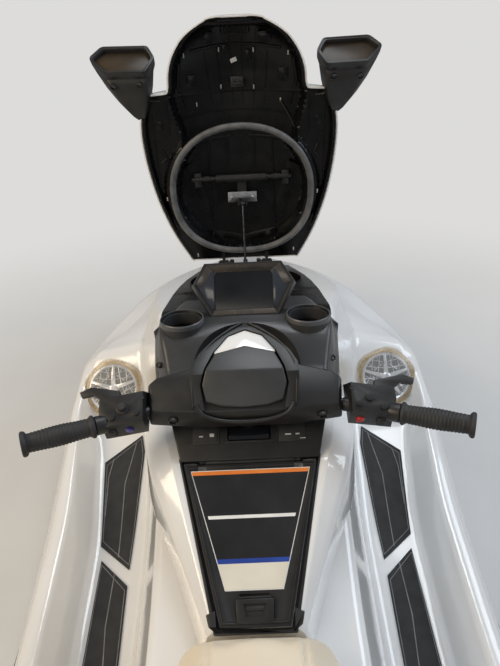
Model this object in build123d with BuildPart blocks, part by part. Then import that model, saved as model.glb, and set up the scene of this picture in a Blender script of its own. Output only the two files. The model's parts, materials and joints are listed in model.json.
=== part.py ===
from build123d import *
import math
import os

# Personal watercraft, three seats, front hood open.
# Millimetres. X to starboard, Y to the bow, Z up, origin on the centre plane
# at mid length, at the height of the still water.

os.makedirs("parts", exist_ok=True)

# Driving sizes of the whole craft
HALF_LENGTH = 1780.0
BOND_HEIGHT = 130.0  # height of the joint between hull and deck at mid length
BOND_RISE = 0.05  # rise of that joint towards the bow, per length
STERN_Y = -(HALF_LENGTH - 5)
FLOOR_HEIGHT = 140.0  # footwell floor
WALL = 5.0
RUNNING_GAP = 6.0  # between pieces that move past each other
SEAT_GAP = 0.3  # between a soft or loose piece and what carries it

# Hull sections: station, keel height, chine half width and height, rail half width
HULL_COLUMNS = ("y", "keel_z", "chine_x", "chine_z", "rail_x")
HULL_SECTIONS = [
    (STERN_Y, -255.0, 478.0, -60.0, 530.0),
    (-600.0, -268.0, 500.0, -75.0, 572.0),
    (200.0, -270.0, 505.0, -70.0, 585.0),
    (750.0, -250.0, 465.0, -25.0, 615.0),
    (1100.0, -190.0, 360.0, 45.0, 548.0),
    (1400.0, -75.0, 215.0, 112.0, 385.0),
    (1600.0, 55.0, 100.0, 160.0, 225.0),
    (1715.0, 140.0, 45.0, 188.0, 105.0),
    (HALF_LENGTH - 20.0, 185.0, 12.0, 203.0, 28.0),
]

# Deck sections, half widths and heights of the corners from the rail inwards
DECK_COLUMNS = (
    "y", "rail_x",
    "side_x", "side_z", "crown_x", "crown_z", "inner_x", "inner_z",
    "outfloor_x", "outfloor_z", "infloor_x", "infloor_z",
    "shoulder_x", "shoulder_z", "top_z",
)
DECK_SECTIONS = [
    (STERN_Y, 530, 528, 112, 505, 150, 480, 158, 452, 141, 300, 140, 180, 141, 142),
    (-1320, 556, 550, 150, 520, 200, 490, 205, 452, 140, 300, 140, 190, 142, 144),
    (-1230, 560, 553, 155, 522, 206, 492, 211, 452, 140, 300, 140, 175, 420, 432),
    (-300, 576, 568, 170, 530, 236, 494, 242, 450, 140, 300, 140, 188, 470, 482),
    (60, 580, 572, 178, 534, 252, 496, 258, 448, 140, 300, 140, 198, 500, 512),
    (420, 604, 594, 212, 550, 292, 512, 298, 466, 175, 312, 172, 214, 596, 608),
    (680, 618, 612, 262, 574, 340, 546, 344, 502, 246, 332, 240, 240, 668, 672),
    (760, 617, 612, 300, 585, 357, 562, 358, 528, 268, 340, 262, 252, 720, 724),
    (950, 592, 604, 355, 582, 408, 566, 420, 536, 448, 368, 482, 300, 662, 666),
    (1150, 525, 558, 375, 532, 415, 512, 422, 440, 436, 358, 474, 322, 600, 604),
    (1400, 385, 462, 392, 436, 424, 416, 428, 370, 438, 300, 458, 268, 523, 527),
    (1560, 258, 352, 402, 326, 428, 306, 430, 262, 438, 214, 448, 180, 472, 476),
    (1690, 130, 196, 409, 176, 427, 160, 429, 132, 434, 104, 440, 78, 448, 450),
    (HALF_LENGTH - 20.0, 28, 56, 410, 50, 420, 44, 424, 36, 427, 26, 429, 14, 430, 431),
]

# Flat flange round the front storage, under the closed hood
FLANGE_HEIGHT_AT_HINGE = 496.0
FLANGE_SLOPE = 0.31

# Hood: hinge line, and how far it swings from open to closed
HINGE_Y = HALF_LENGTH - 280
HINGE_Z = 520.0
HOOD_CLOSED_SLOPE = 18.0
HOOD_BASE_U = 16.0  # from the hinge line to the lower end of the hood

# Hood sections when open, up from the hinge: height, half width, crown depth
HOOD_COLUMNS = ("u", "half_width", "crown")
HOOD_LOWER = [
    (HOOD_BASE_U, 226.0, 58.0),
    (140.0, 292.0, 88.0),
    (286.0, 339.0, 112.0),
    (430.0, 362.0, 132.0),
    (560.0, 366.0, 146.0),
    (664.0, 337.0, 156.0),
]
HOOD_TONGUE = [
    (640.0, 248.0, 150.0),
    (740.0, 240.0, 158.0),
    (800.0, 212.0, 152.0),
    (856.0, 160.0, 144.0),
    (896.0, 62.0, 136.0),
]
HOOD_SKIN = 11.0
LINER_SKIN = 6.0
RIB_WIDTH = 9.0
RIB_HEIGHT = 14.0

# Round seal and storage mouth
SEAL_CENTRE_U = 303.0
SEAL_HALF_WIDTH = 288.0
SEAL_HALF_LENGTH = 262.0
SEAL_BAND = 24.0
SEAL_DEPTH = 16.0
TUB_DEPTH = 330.0

# Gas strut
STRUT_LOWER_Y = 1320.0
STRUT_LOWER_Z = 330.0
STRUT_UPPER_V = 30.0
STRUT_UPPER_U = 245.0
STRUT_BODY_LENGTH = 228.0
STRUT_BODY_RADIUS = 11.0
STRUT_ROD_RADIUS = 5.0
STRUT_EYE_RADIUS = 11.0
PIN_RADIUS = 4.0
PIN_GAP = 0.1

# Mirrors, in the open hood's frame
MIRROR_RIM_CENTRE = (384.0, 1500.0, 1300.0)
MIRROR_RIM_TILT = 38.0
MIRROR_RIM_HALF_WIDTH = 106.0
MIRROR_RIM_HALF_HEIGHT = 54.0
MIRROR_ROOT_CENTRE = (326.0, 1560.0, 1108.0)
MIRROR_ROOT_HALF_WIDTH = 56.0
MIRROR_ROOT_HALF_HEIGHT = 34.0
MIRROR_CAVITY = 62.0

# Steering head
STEER_Y = 300.0
STEER_Z = 790.0
STEER_TILT = 28.0
COVER_HALF_WIDTH = 192.0
RECESS_RADIUS = 121.0
RECESS_FORWARD = 105.0  # centre of the recess, ahead of the steering axis
COLUMN_RADIUS = 34.0
ARCH_REACH = 180.0
BAR_RADIUS = 11.0
GRIP_RADIUS = 17.0

# Dash with two cup holders and the display
CUP_X = 150.0
CUP_Y = 556.0
CUP_Z = 826.0
CUP_RADIUS = 44.0
CUP_DEPTH = 72.0
CUP_RIM = 8.0
CUP_TILT = 8.0
DISPLAY_BOTTOM_Y = 572.0
DISPLAY_BOTTOM_Z = 822.0
DISPLAY_TILT = 29.0
DISPLAY_HEIGHT = 128.0
DISPLAY_DEPTH = 26.0
SCREEN_WIDTH = 140.0
SCREEN_HEIGHT = 98.0
SCREEN_DEPTH = 10.0
BEZEL_RIM = 5.0

# Glove box in front of the seat
LID_FRONT = (235.0, 692.0)  # y and z of the lid's hinge edge
LID_REAR = (-25.0, 582.0)
LID_HALF_FRONT = 132.0
LID_HALF_REAR = 60.0
LID_THICK = 14.0
BIN_DEPTH = 95.0

# Jet drive
PUMP_Z = -112.0
PUMP_OUTER = 96.0
PUMP_BORE = 80.0
PUMP_FRONT_Y = -1330.0
NOZZLE_PIVOT_Y = -1680.0
IMPELLER_Y = -1440.0
IMPELLER_RADIUS = 78.0
IMPELLER_HUB = 27.0
IMPELLER_BLADES = 4
SHAFT_RADIUS = 12.0
SHAFT_END_Y = -1090.0
TUNNEL_HALF_WIDTH = 138.0
TUNNEL_ROOF = 28.0

# Engine bay and engine
BAY_HALF_WIDTH = 150.0
BAY_FRONT_Y = 20.0
BAY_REAR_Y = -700.0
BAY_FLOOR = -120.0
ENGINE_LENGTH = 640.0
ENGINE_WIDTH = 260.0
ENGINE_HEIGHT = 420.0
ENGINE_Y = -340.0


def bond_z(y):
    """Height of the joint between hull and deck at a station."""
    return BOND_HEIGHT + BOND_RISE * y


def station(y):
    """Upright plane across the craft at a station, X across and Z up."""
    return Plane.XZ.offset(-y)


def both_sides(points):
    """Closed outline from the points of its starboard half."""
    return points + [(-x, z) for x, z in reversed(points) if x > 0]


def direction_plane(start, end):
    """Plane at start that faces end."""
    return Plane(origin=start, z_dir=Vector(*end) - Vector(*start))


bond_angle = math.degrees(math.atan(BOND_RISE))
bond_plane = Plane(
    origin=(0, 0, BOND_HEIGHT),
    x_dir=(1, 0, 0),
    z_dir=(0, -math.sin(math.radians(bond_angle)), math.cos(math.radians(bond_angle))),
)
flange_angle = math.degrees(math.atan(FLANGE_SLOPE))
flange_plane = Plane(
    origin=(0, HINGE_Y, FLANGE_HEIGHT_AT_HINGE),
    x_dir=(1, 0, 0),
    z_dir=(0, math.sin(math.radians(flange_angle)), math.cos(math.radians(flange_angle))),
)
steer_plane = Plane(
    origin=(0, STEER_Y, STEER_Z),
    x_dir=(1, 0, 0),
    z_dir=(0, -math.sin(math.radians(STEER_TILT)), math.cos(math.radians(STEER_TILT))),
)
# Side view of the steering head: local Y forward, local Z up along its axis
steer_side_plane = Plane(
    origin=(0, STEER_Y, STEER_Z),
    x_dir=(0, math.cos(math.radians(STEER_TILT)), math.sin(math.radians(STEER_TILT))),
    z_dir=(1, 0, 0),
)
# The open hood stands upright on this plane: X across, local Y up from the hinge
hood_plane = Plane(origin=(0, HINGE_Y, HINGE_Z), x_dir=(1, 0, 0), z_dir=(0, -1, 0))

# Place of the storage mouth on the flange, below the seal of the closed hood
closed = math.radians(HOOD_CLOSED_SLOPE)
mouth_y = HINGE_Y - SEAL_CENTRE_U * math.cos(closed)
mouth_on_flange = (mouth_y - HINGE_Y) / math.cos(math.radians(flange_angle))

# Hull below the joint, with the pump tunnel and the engine bay
with BuildPart() as hull:
    for y, keel_z, chine_x, chine_z, rail_x in HULL_SECTIONS:
        with BuildSketch(station(y)):
            Polygon(
                *both_sides([(0, keel_z), (chine_x, chine_z), (rail_x, bond_z(y)), (0, bond_z(y))]),
                align=None,
            )
    loft(ruled=True)
    # Tunnel for the pump, open at the stern and below
    with BuildSketch(station(STERN_Y - 5)):
        with BuildLine():
            Polyline(
                (-TUNNEL_HALF_WIDTH, -300),
                (-TUNNEL_HALF_WIDTH, TUNNEL_ROOF - 25),
                (-TUNNEL_HALF_WIDTH + 25, TUNNEL_ROOF),
                (TUNNEL_HALF_WIDTH - 25, TUNNEL_ROOF),
                (TUNNEL_HALF_WIDTH, TUNNEL_ROOF - 25),
                (TUNNEL_HALF_WIDTH, -300),
                close=True,
            )
        make_face()
    extrude(amount=-(PUMP_FRONT_Y - STERN_Y + 5), mode=Mode.SUBTRACT)
    # Water intake duct, rising from the keel to the pump
    with BuildSketch(Plane.YZ):
        with BuildLine():
            Polyline(
                (PUMP_FRONT_Y - 2, PUMP_Z + PUMP_BORE),
                (PUMP_FRONT_Y + 120, PUMP_Z + PUMP_BORE - 12),
                (PUMP_FRONT_Y + 560, -300),
                (PUMP_FRONT_Y - 2, -300),
                close=True,
            )
        make_face()
    extrude(amount=PUMP_BORE, both=True, mode=Mode.SUBTRACT)
    # Passage for the impeller shaft
    with BuildSketch(Plane.XZ.offset(-SHAFT_END_Y)):
        with Locations((0, PUMP_Z)):
            Circle(SHAFT_RADIUS + 0.6)
    extrude(amount=160, mode=Mode.SUBTRACT)
    # Engine bay
    with BuildSketch(Plane.XY.offset(BAY_FLOOR)):
        with Locations((0, (BAY_FRONT_Y + BAY_REAR_Y) / 2)):
            RectangleRounded(2 * BAY_HALF_WIDTH, BAY_FRONT_Y - BAY_REAR_Y, 40)
    extrude(amount=400, mode=Mode.SUBTRACT)

# Deck, with gunwales, footwells, pedestal and the sloping flange at the front
with BuildPart() as deck:
    for row in DECK_SECTIONS:
        y, rail_x = row[0], row[1]
        corners = list(zip(row[2:14:2], row[3:14:2]))
        with BuildSketch(station(y)):
            Polygon(*both_sides([(0, bond_z(y)), (rail_x, bond_z(y))] + corners + [(0, row[14])]), align=None)
    loft(ruled=True)
    # Engine bay, open under the seats
    with BuildSketch(Plane.XY.offset(-50)):
        with Locations((0, (BAY_FRONT_Y + BAY_REAR_Y) / 2)):
            RectangleRounded(2 * BAY_HALF_WIDTH, BAY_FRONT_Y - BAY_REAR_Y, 40)
    extrude(amount=700, mode=Mode.SUBTRACT)
    # Mouth and well of the front storage
    with BuildSketch(flange_plane):
        with Locations((0, mouth_on_flange)):
            Ellipse(SEAL_HALF_WIDTH - SEAL_BAND, SEAL_HALF_LENGTH - SEAL_BAND)
    extrude(amount=-TUB_DEPTH, mode=Mode.SUBTRACT)

# Storage tub hanging in the well
with BuildPart() as storage_tub:
    with BuildSketch(flange_plane):
        with Locations((0, mouth_on_flange)):
            Ellipse(SEAL_HALF_WIDTH - SEAL_BAND, SEAL_HALF_LENGTH - SEAL_BAND)
    extrude(amount=-TUB_DEPTH)
    with BuildSketch(flange_plane):
        with Locations((0, mouth_on_flange)):
            Ellipse(SEAL_HALF_WIDTH - SEAL_BAND - WALL, SEAL_HALF_LENGTH - SEAL_BAND - WALL)
    extrude(amount=-(TUB_DEPTH - WALL), mode=Mode.SUBTRACT)

# Rub rail along the joint
rail_half = [(row[4], row[0] / math.cos(math.radians(bond_angle))) for row in HULL_SECTIONS]
with BuildPart() as rub_rail:
    with BuildSketch(bond_plane):
        Polygon(*(rail_half + [(-x, y) for x, y in reversed(rail_half)]), align=None)
        offset(amount=12, kind=Kind.ARC)
    extrude(amount=15, both=True)
    with BuildSketch(bond_plane):
        Polygon(*(rail_half + [(-x, y) for x, y in reversed(rail_half)]), align=None)
        offset(amount=-30, kind=Kind.INTERSECTION)
    extrude(amount=20, both=True, mode=Mode.SUBTRACT)
    add(hull.part, mode=Mode.SUBTRACT)
    add(deck.part, mode=Mode.SUBTRACT)


def hood_section(u, half_width, crown, inset=0.0):
    """Cross-section of the open hood at a height above the hinge."""
    half_width = half_width - inset
    crown = crown - inset
    with BuildSketch(Plane.XY.offset(HINGE_Z + u)) as section:
        with BuildLine():
            Line((-half_width, HINGE_Y), (half_width, HINGE_Y))
            Line((half_width, HINGE_Y), (half_width * 0.93, HINGE_Y + crown * 0.55))
            ThreePointArc(
                (half_width * 0.93, HINGE_Y + crown * 0.55),
                (0, HINGE_Y + crown),
                (-half_width * 0.93, HINGE_Y + crown * 0.55),
            )
            Line((-half_width * 0.93, HINGE_Y + crown * 0.55), (-half_width, HINGE_Y))
        make_face()
    return section.sketch


def hood_form(inset):
    """Whole hood as one solid, drawn in by an inset."""
    with BuildPart() as form:
        for rows in (HOOD_LOWER, HOOD_TONGUE):
            last = len(rows) - 1
            faces = []
            for index, (u, half_width, crown) in enumerate(rows):
                ends = (index == 0) * inset - (index == last) * inset
                if rows is HOOD_TONGUE and index == 0:
                    ends = -2 * inset
                faces.append(hood_section(u + ends, half_width, crown, inset))
            add(Solid.make_loft([face.face().outer_wire() for face in faces], ruled=True))
    return form.part


hood_outer = hood_form(0.0)
hood_middle = hood_form(HOOD_SKIN)
hood_inner = hood_form(HOOD_SKIN + LINER_SKIN)

# White outer shell of the hood
with BuildPart() as hood_shell:
    add(hood_outer)
    add(hood_middle, mode=Mode.SUBTRACT)

# Black ribbed liner, with pockets round the seal ring and along the tongue
with BuildPart() as pockets:
    with BuildSketch(hood_plane):
        with Locations((0, SEAL_CENTRE_U)):
            Ellipse(SEAL_HALF_WIDTH - SEAL_BAND - 4, SEAL_HALF_LENGTH - SEAL_BAND - 4)
    extrude(amount=-400)
    with BuildSketch(hood_plane):
        with Locations((0, 740)):
            Rectangle(460, 330)
        with Locations((-300, 520), (300, 520)):
            Rectangle(150, 250)
        with Locations((0, SEAL_CENTRE_U)):
            Ellipse(SEAL_HALF_WIDTH + 4, SEAL_HALF_LENGTH + 4, mode=Mode.SUBTRACT)
    extrude(amount=-400)
    add(hood_inner, mode=Mode.INTERSECT)

# Ribs that stand up from the bottom of the pockets: place across, lower and upper end
LINER_RIBS = [(-150, 610, 790), (-96, 590, 850), (-42, 590, 870), (42, 590, 870), (96, 590, 850), (150, 610, 790),
              (-90, 90, 500), (90, 90, 500)]
with BuildPart() as liner_ribs:
    with BuildSketch(hood_plane):
        for x, low, high in LINER_RIBS:
            with Locations((x, (low + high) / 2)):
                Rectangle(RIB_WIDTH, high - low)
    extrude(amount=-400)
    add(hood_form(HOOD_SKIN + LINER_SKIN + RIB_HEIGHT), mode=Mode.SUBTRACT)

with BuildPart() as hood_liner:
    add(hood_middle)
    add(pockets.part - liner_ribs.part, mode=Mode.SUBTRACT)

# Seal ring on the liner
with BuildPart() as hood_seal:
    with BuildSketch(hood_plane):
        with Locations((0, SEAL_CENTRE_U)):
            Ellipse(SEAL_HALF_WIDTH, SEAL_HALF_LENGTH)
            Ellipse(SEAL_HALF_WIDTH - SEAL_BAND, SEAL_HALF_LENGTH - SEAL_BAND, mode=Mode.SUBTRACT)
    extrude(amount=SEAL_DEPTH)

# Lower end of the hood frame: arms that reach down to the hinge pin
HINGE_LUG_X = (-92.0, 92.0)
LUG_THICK = 12.0
with BuildPart() as hood_hinge_arm:
    for x in HINGE_LUG_X:
        with BuildSketch(Plane.YZ.offset(x - LUG_THICK / 2)):
            with BuildLine():
                Polyline(
                    (HINGE_Y - 9, HINGE_Z), (HINGE_Y - 9, HINGE_Z + 48),
                    (HINGE_Y, HINGE_Z + 48), (HINGE_Y + 9, HINGE_Z), close=True,
                )
            make_face()
            with Locations((HINGE_Y, HINGE_Z)):
                Circle(9)
                Circle(PIN_RADIUS + PIN_GAP, mode=Mode.SUBTRACT)
        extrude(amount=LUG_THICK)
    add(hood_outer, mode=Mode.SUBTRACT)

# Hinge block on the deck, with the pin
with BuildPart() as hood_hinge_base:
    for x in HINGE_LUG_X:
        for side in (-1, 1):
            middle = x + side * (LUG_THICK + 1)
            with BuildSketch(Plane.YZ.offset(middle - LUG_THICK / 2)):
                with Locations((HINGE_Y, HINGE_Z - 20)):
                    Rectangle(18, 40)
                with Locations((HINGE_Y, HINGE_Z)):
                    Circle(9)
            extrude(amount=LUG_THICK)
        with Locations(Location((x, HINGE_Y, HINGE_Z), (0, 90, 0))):
            Cylinder(PIN_RADIUS, 4 * LUG_THICK)
    add(deck.part, mode=Mode.SUBTRACT)

# Cross tube and strut bracket inside the hood
strut_upper = (0, HINGE_Y + STRUT_UPPER_V, HINGE_Z + STRUT_UPPER_U)
strut_lower = (0, STRUT_LOWER_Y, STRUT_LOWER_Z)
with BuildPart() as hood_frame:
    with Locations(Location((0, HINGE_Y + 52, HINGE_Z + 345), (0, 90, 0))):
        Cylinder(9, 400)
    for x in (-175, 175):
        with Locations((x, HINGE_Y + 82, HINGE_Z + 345)):
            Box(22, 60, 26)
    with Locations((0, HINGE_Y + 62, HINGE_Z + STRUT_UPPER_U + 20)):
        Box(116, 8, 40)
    with Locations((0, HINGE_Y + 61, HINGE_Z + 305)):
        Box(36, 6, 96)
    for side in (-1, 1):
        with BuildSketch(Plane.YZ.offset(side * 16 - 3)):
            with Locations((HINGE_Y + STRUT_UPPER_V, HINGE_Z + STRUT_UPPER_U)):
                Circle(11)
            with Locations((HINGE_Y + STRUT_UPPER_V + 17, HINGE_Z + STRUT_UPPER_U + 4)):
                Rectangle(34, 22)
        extrude(amount=6)
    for x in (-40, 40):
        with Locations((x, HINGE_Y + 92, HINGE_Z + STRUT_UPPER_U + 20)):
            Box(14, 60, 26)
    # Striker on the tongue of the hood
    with Locations((0, HINGE_Y + 66, HINGE_Z + 690)):
        Box(46, 6, 34)
    for x in (-9, 9):
        with Locations(Location((x, HINGE_Y + 40, HINGE_Z + 690), (90, 0, 0))):
            Cylinder(3.5, 52)
    with Locations(Location((0, HINGE_Y + 15, HINGE_Z + 690), (0, 90, 0))):
        Cylinder(3.5, 25)
    for x in (-16, 16):
        with Locations((x, HINGE_Y + 112, HINGE_Z + 690)):
            Box(8, 100, 20)
    add(hood_middle, mode=Mode.INTERSECT)
    add(hood_liner.part, mode=Mode.SUBTRACT)

# Gas strut, its barrel on the tub and its rod eye at the hood bracket
barrel_plane = direction_plane(strut_lower, strut_upper)
strut_length = (Vector(*strut_upper) - Vector(*strut_lower)).length
with BuildPart() as strut_barrel:
    with BuildSketch(barrel_plane):
        Circle(STRUT_ROD_RADIUS + 2)
    extrude(amount=20)
    with BuildSketch(barrel_plane.offset(16)):
        Circle(STRUT_BODY_RADIUS)
    extrude(amount=STRUT_BODY_LENGTH - 16)
    with BuildSketch(barrel_plane.offset(19)):
        Circle(STRUT_ROD_RADIUS + 0.5)
    extrude(amount=STRUT_BODY_LENGTH, mode=Mode.SUBTRACT)
    with Locations(Location(strut_lower, (0, 90, 0))):
        Cylinder(STRUT_EYE_RADIUS - 1, 16)
        Cylinder(PIN_RADIUS + PIN_GAP, 40, mode=Mode.SUBTRACT)

with BuildPart() as strut_rod:
    with BuildSketch(barrel_plane.offset(STRUT_BODY_LENGTH - 20)):
        Circle(STRUT_ROD_RADIUS)
    extrude(amount=strut_length - STRUT_BODY_LENGTH + 20)
    with Locations(Location(strut_upper, (0, 90, 0))):
        Cylinder(STRUT_EYE_RADIUS - 2, 16)
        Cylinder(PIN_RADIUS, 20, mode=Mode.SUBTRACT)

# Clevis on the front wall of the tub for the strut's lower end
with BuildPart() as strut_clevis:
    for side in (-1, 1):
        with BuildSketch(Plane.YZ.offset(side * 16 - 3)):
            with Locations((STRUT_LOWER_Y + 45, STRUT_LOWER_Z - 6)):
                Rectangle(100, 26)
            with Locations((STRUT_LOWER_Y, STRUT_LOWER_Z)):
                Circle(13)
        extrude(amount=6)
    with Locations(Location(strut_lower, (0, 90, 0))):
        Cylinder(PIN_RADIUS, 38)
    add(storage_tub.part, mode=Mode.SUBTRACT)
    add(deck.part, mode=Mode.SUBTRACT)

# Mirror housings, modelled at the open hood's starboard shoulder
rim_plane = Plane(
    origin=MIRROR_RIM_CENTRE,
    x_dir=(1, 0, 0),
    z_dir=(0, -math.sin(math.radians(MIRROR_RIM_TILT)), math.cos(math.radians(MIRROR_RIM_TILT))),
)
root_plane = Plane(origin=MIRROR_ROOT_CENTRE, x_dir=(1, 0, 0), z_dir=(0, 0, 1))


def mirror_outline(half_width, half_height):
    """Six-sided outline of a mirror housing."""
    return [
        (-half_width, half_height * 0.1),
        (-half_width * 0.72, -half_height),
        (half_width * 0.5, -half_height * 0.92),
        (half_width, half_height * 0.25),
        (half_width * 0.62, half_height),
        (-half_width * 0.8, half_height * 0.9),
    ]


with BuildPart() as mirror_starboard:
    with BuildSketch(rim_plane):
        Polygon(*mirror_outline(MIRROR_RIM_HALF_WIDTH, MIRROR_RIM_HALF_HEIGHT), align=None)
    with BuildSketch(root_plane):
        Polygon(*mirror_outline(MIRROR_ROOT_HALF_WIDTH, MIRROR_ROOT_HALF_HEIGHT), align=None)
    loft(ruled=True)
    with BuildSketch(rim_plane):
        Polygon(*mirror_outline(MIRROR_RIM_HALF_WIDTH - 8, MIRROR_RIM_HALF_HEIGHT - 7), align=None)
    with BuildSketch(rim_plane.offset(-MIRROR_CAVITY)):
        Polygon(*mirror_outline(MIRROR_RIM_HALF_WIDTH - 34, MIRROR_RIM_HALF_HEIGHT - 22), align=None)
    loft(ruled=True, mode=Mode.SUBTRACT)
    # Stalk to the shoulder of the hood
    with BuildSketch(Plane.YZ.offset(236)):
        with Locations((HINGE_Y + 66, HINGE_Z + 690)):
            RectangleRounded(70, 44, 12)
    with BuildSketch(Plane.YZ.offset(330)):
        with Locations((HINGE_Y + 40, HINGE_Z + 702)):
            RectangleRounded(60, 56, 12)
    loft(ruled=True)
    add(hood_outer, mode=Mode.SUBTRACT)

with BuildPart() as mirror_housings:
    add(mirror_starboard.part)
    mirror(about=Plane.YZ)

with BuildPart() as mirror_glasses:
    with BuildSketch(rim_plane.offset(-MIRROR_CAVITY + 26)):
        Polygon(*mirror_outline(MIRROR_RIM_HALF_WIDTH - 26, MIRROR_RIM_HALF_HEIGHT - 17), align=None)
    extrude(amount=-3)
    mirror(about=Plane.YZ)

# Dash console round the steering recess, between the flanks of the deck
DASH_COLUMNS = ("y", "edge_x", "edge_z", "side_x", "side_z", "top_x", "top_z", "middle_z")
DASH_SECTIONS = [
    (425.0, 216.0, 600.0, 206.0, 690.0, 168.0, 762.0, 768.0),
    (510.0, 230.0, 640.0, 222.0, 730.0, 186.0, 808.0, 816.0),
    (590.0, 240.0, 664.0, 232.0, 738.0, 200.0, 812.0, 817.0),
    (640.0, 246.0, 672.0, 238.0, 738.0, 204.0, 786.0, 796.0),
]
TRAY_REAR_Y = 632.0
TRAY_FRONT_Y = 840.0
with BuildPart() as dash_console:
    for y, edge_x, edge_z, side_x, side_z, top_x, top_z, middle_z in DASH_SECTIONS:
        with BuildSketch(station(y)):
            Polygon(
                *both_sides([(0, 560), (edge_x, 560), (edge_x, edge_z), (side_x, side_z), (top_x, top_z), (0, middle_z)]),
                align=None,
            )
    loft(ruled=True)
    # Tray that dips under the closed hood
    for y, half_width, top_z in ((TRAY_REAR_Y, 240.0, 770.0), (TRAY_FRONT_Y, 206.0, 716.0)):
        with BuildSketch(station(y)):
            Polygon(
                *both_sides([(0, 560), (half_width, 560), (half_width, top_z - 22), (half_width - 30, top_z), (0, top_z + 4)]),
                align=None,
            )
    loft(ruled=True)
    add(deck.part, mode=Mode.SUBTRACT)
    with BuildSketch(steer_plane.offset(-150)):
        with Locations((0, RECESS_FORWARD)):
            Circle(RECESS_RADIUS)
    extrude(amount=300, mode=Mode.SUBTRACT)
    with BuildSketch(flange_plane):
        with Locations((0, mouth_on_flange)):
            Ellipse(SEAL_HALF_WIDTH, SEAL_HALF_LENGTH)
    extrude(amount=400, both=True, mode=Mode.SUBTRACT)
    cup_places = [
        Location((side * CUP_X, CUP_Y, CUP_Z), (-CUP_TILT, 0, 0)) for side in (-1, 1)
    ]
    with Locations(*cup_places):
        Cylinder(CUP_RADIUS + CUP_RIM, 40, align=(Align.CENTER, Align.CENTER, Align.MAX))
        Cylinder(CUP_RADIUS, 300, mode=Mode.SUBTRACT)
    with Locations(*[place * Location((0, 0, -CUP_DEPTH)) for place in cup_places]):
        Cylinder(CUP_RADIUS + WALL, WALL, align=(Align.CENTER, Align.CENTER, Align.MAX))
    with BuildSketch(steer_plane.offset(-230)):
        Circle(COLUMN_RADIUS)
    extrude(amount=300, mode=Mode.SUBTRACT)

# Display in its six-sided bezel
tilt = math.radians(DISPLAY_TILT)
display_plane = Plane(
    origin=(0, DISPLAY_BOTTOM_Y, DISPLAY_BOTTOM_Z),
    x_dir=(1, 0, 0),
    z_dir=(0, -math.cos(tilt), math.sin(tilt)),
)
bezel_points = [
    (82, 0), (121, 78), (92, DISPLAY_HEIGHT),
    (-92, DISPLAY_HEIGHT), (-121, 78), (-82, 0),
]
SCREEN_MIDDLE = 66.0
with BuildPart() as display_bezel:
    with BuildSketch(display_plane):
        Polygon(*bezel_points, align=None)
    with BuildSketch(display_plane.offset(-DISPLAY_DEPTH)):
        Polygon(*[(x * 1.06, y * 0.97 - 2) for x, y in bezel_points], align=None)
    loft(ruled=True)
    # Foot that stands on the dash
    with BuildSketch(display_plane.offset(-4)):
        with Locations((0, -2)):
            Rectangle(150, 44)
    extrude(amount=-40)
    add(dash_console.part, mode=Mode.SUBTRACT)
    # Raised rim round a sunken face, and the recess of the screen in it
    with BuildSketch(display_plane):
        Polygon(*bezel_points, align=None)
        offset(amount=-BEZEL_RIM, kind=Kind.INTERSECTION)
    extrude(amount=-4, mode=Mode.SUBTRACT)
    with BuildSketch(display_plane):
        with Locations((0, SCREEN_MIDDLE)):
            RectangleRounded(SCREEN_WIDTH, SCREEN_HEIGHT, 4)
    extrude(amount=-SCREEN_DEPTH, mode=Mode.SUBTRACT)

with BuildPart() as display_screen:
    with BuildSketch(display_plane.offset(-SCREEN_DEPTH)):
        with Locations((0, SCREEN_MIDDLE)):
            RectangleRounded(SCREEN_WIDTH, SCREEN_HEIGHT, 4)
    extrude(amount=4)

# Steering head, in the tilted steering frame
STEM_RADIUS = 22.0
COLUMN_TOP = -45.0
COVER_BOTTOM = -38.0
COVER_TOP = 18.0
with BuildPart() as steering_column:
    with BuildSketch(steer_plane.offset(-230)):
        Circle(COLUMN_RADIUS)
    extrude(amount=230 + COLUMN_TOP)
    with BuildSketch(steer_plane.offset(-150)):
        Circle(STEM_RADIUS)
    extrude(amount=200, mode=Mode.SUBTRACT)
    add(deck.part, mode=Mode.SUBTRACT)

# Outlines of the cover at its bottom and its top, starboard half, from the rear forwards
COVER_OUTLINE_BOTTOM = [(98, -50), (186, -38), (COVER_HALF_WIDTH, 38), (176, 58), (100, 80)]
COVER_OUTLINE_TOP = [(92, -22), (178, -20), (COVER_HALF_WIDTH - 4, 40), (172, 54), (96, 74)]
# Line of the handlebar through the cover, starboard half, in the steering frame
BAR_ROOT = (180.0, -6.0, -10.0)
BAR_TIP = (404.0, -84.0, 62.0)
bar_root = steer_plane.from_local_coords(Vector(*BAR_ROOT))
bar_tip = steer_plane.from_local_coords(Vector(*BAR_TIP))
bar_plane = Plane(origin=bar_root, z_dir=bar_tip - bar_root)
bar_length = (bar_tip - bar_root).length
GRIP_START = 122.0
GRIP_LENGTH = bar_length - GRIP_START

with BuildPart() as steering_cover:
    with BuildSketch(steer_plane.offset(COVER_BOTTOM)):
        Polygon(*both_sides(COVER_OUTLINE_BOTTOM), align=None)
    with BuildSketch(steer_plane.offset(COVER_TOP)):
        Polygon(*both_sides(COVER_OUTLINE_TOP), align=None)
    loft(ruled=True)
    with BuildSketch(steer_plane.offset(COVER_BOTTOM)):
        Circle(STEM_RADIUS - 0.3)
    extrude(amount=-90)

with BuildPart() as handlebar_starboard:
    with BuildSketch(bar_plane):
        Circle(BAR_RADIUS)
    extrude(amount=bar_length)
    add(steering_cover.part, mode=Mode.SUBTRACT)

with BuildPart() as handlebar:
    add(handlebar_starboard.part)
    mirror(about=Plane.YZ)

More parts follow.
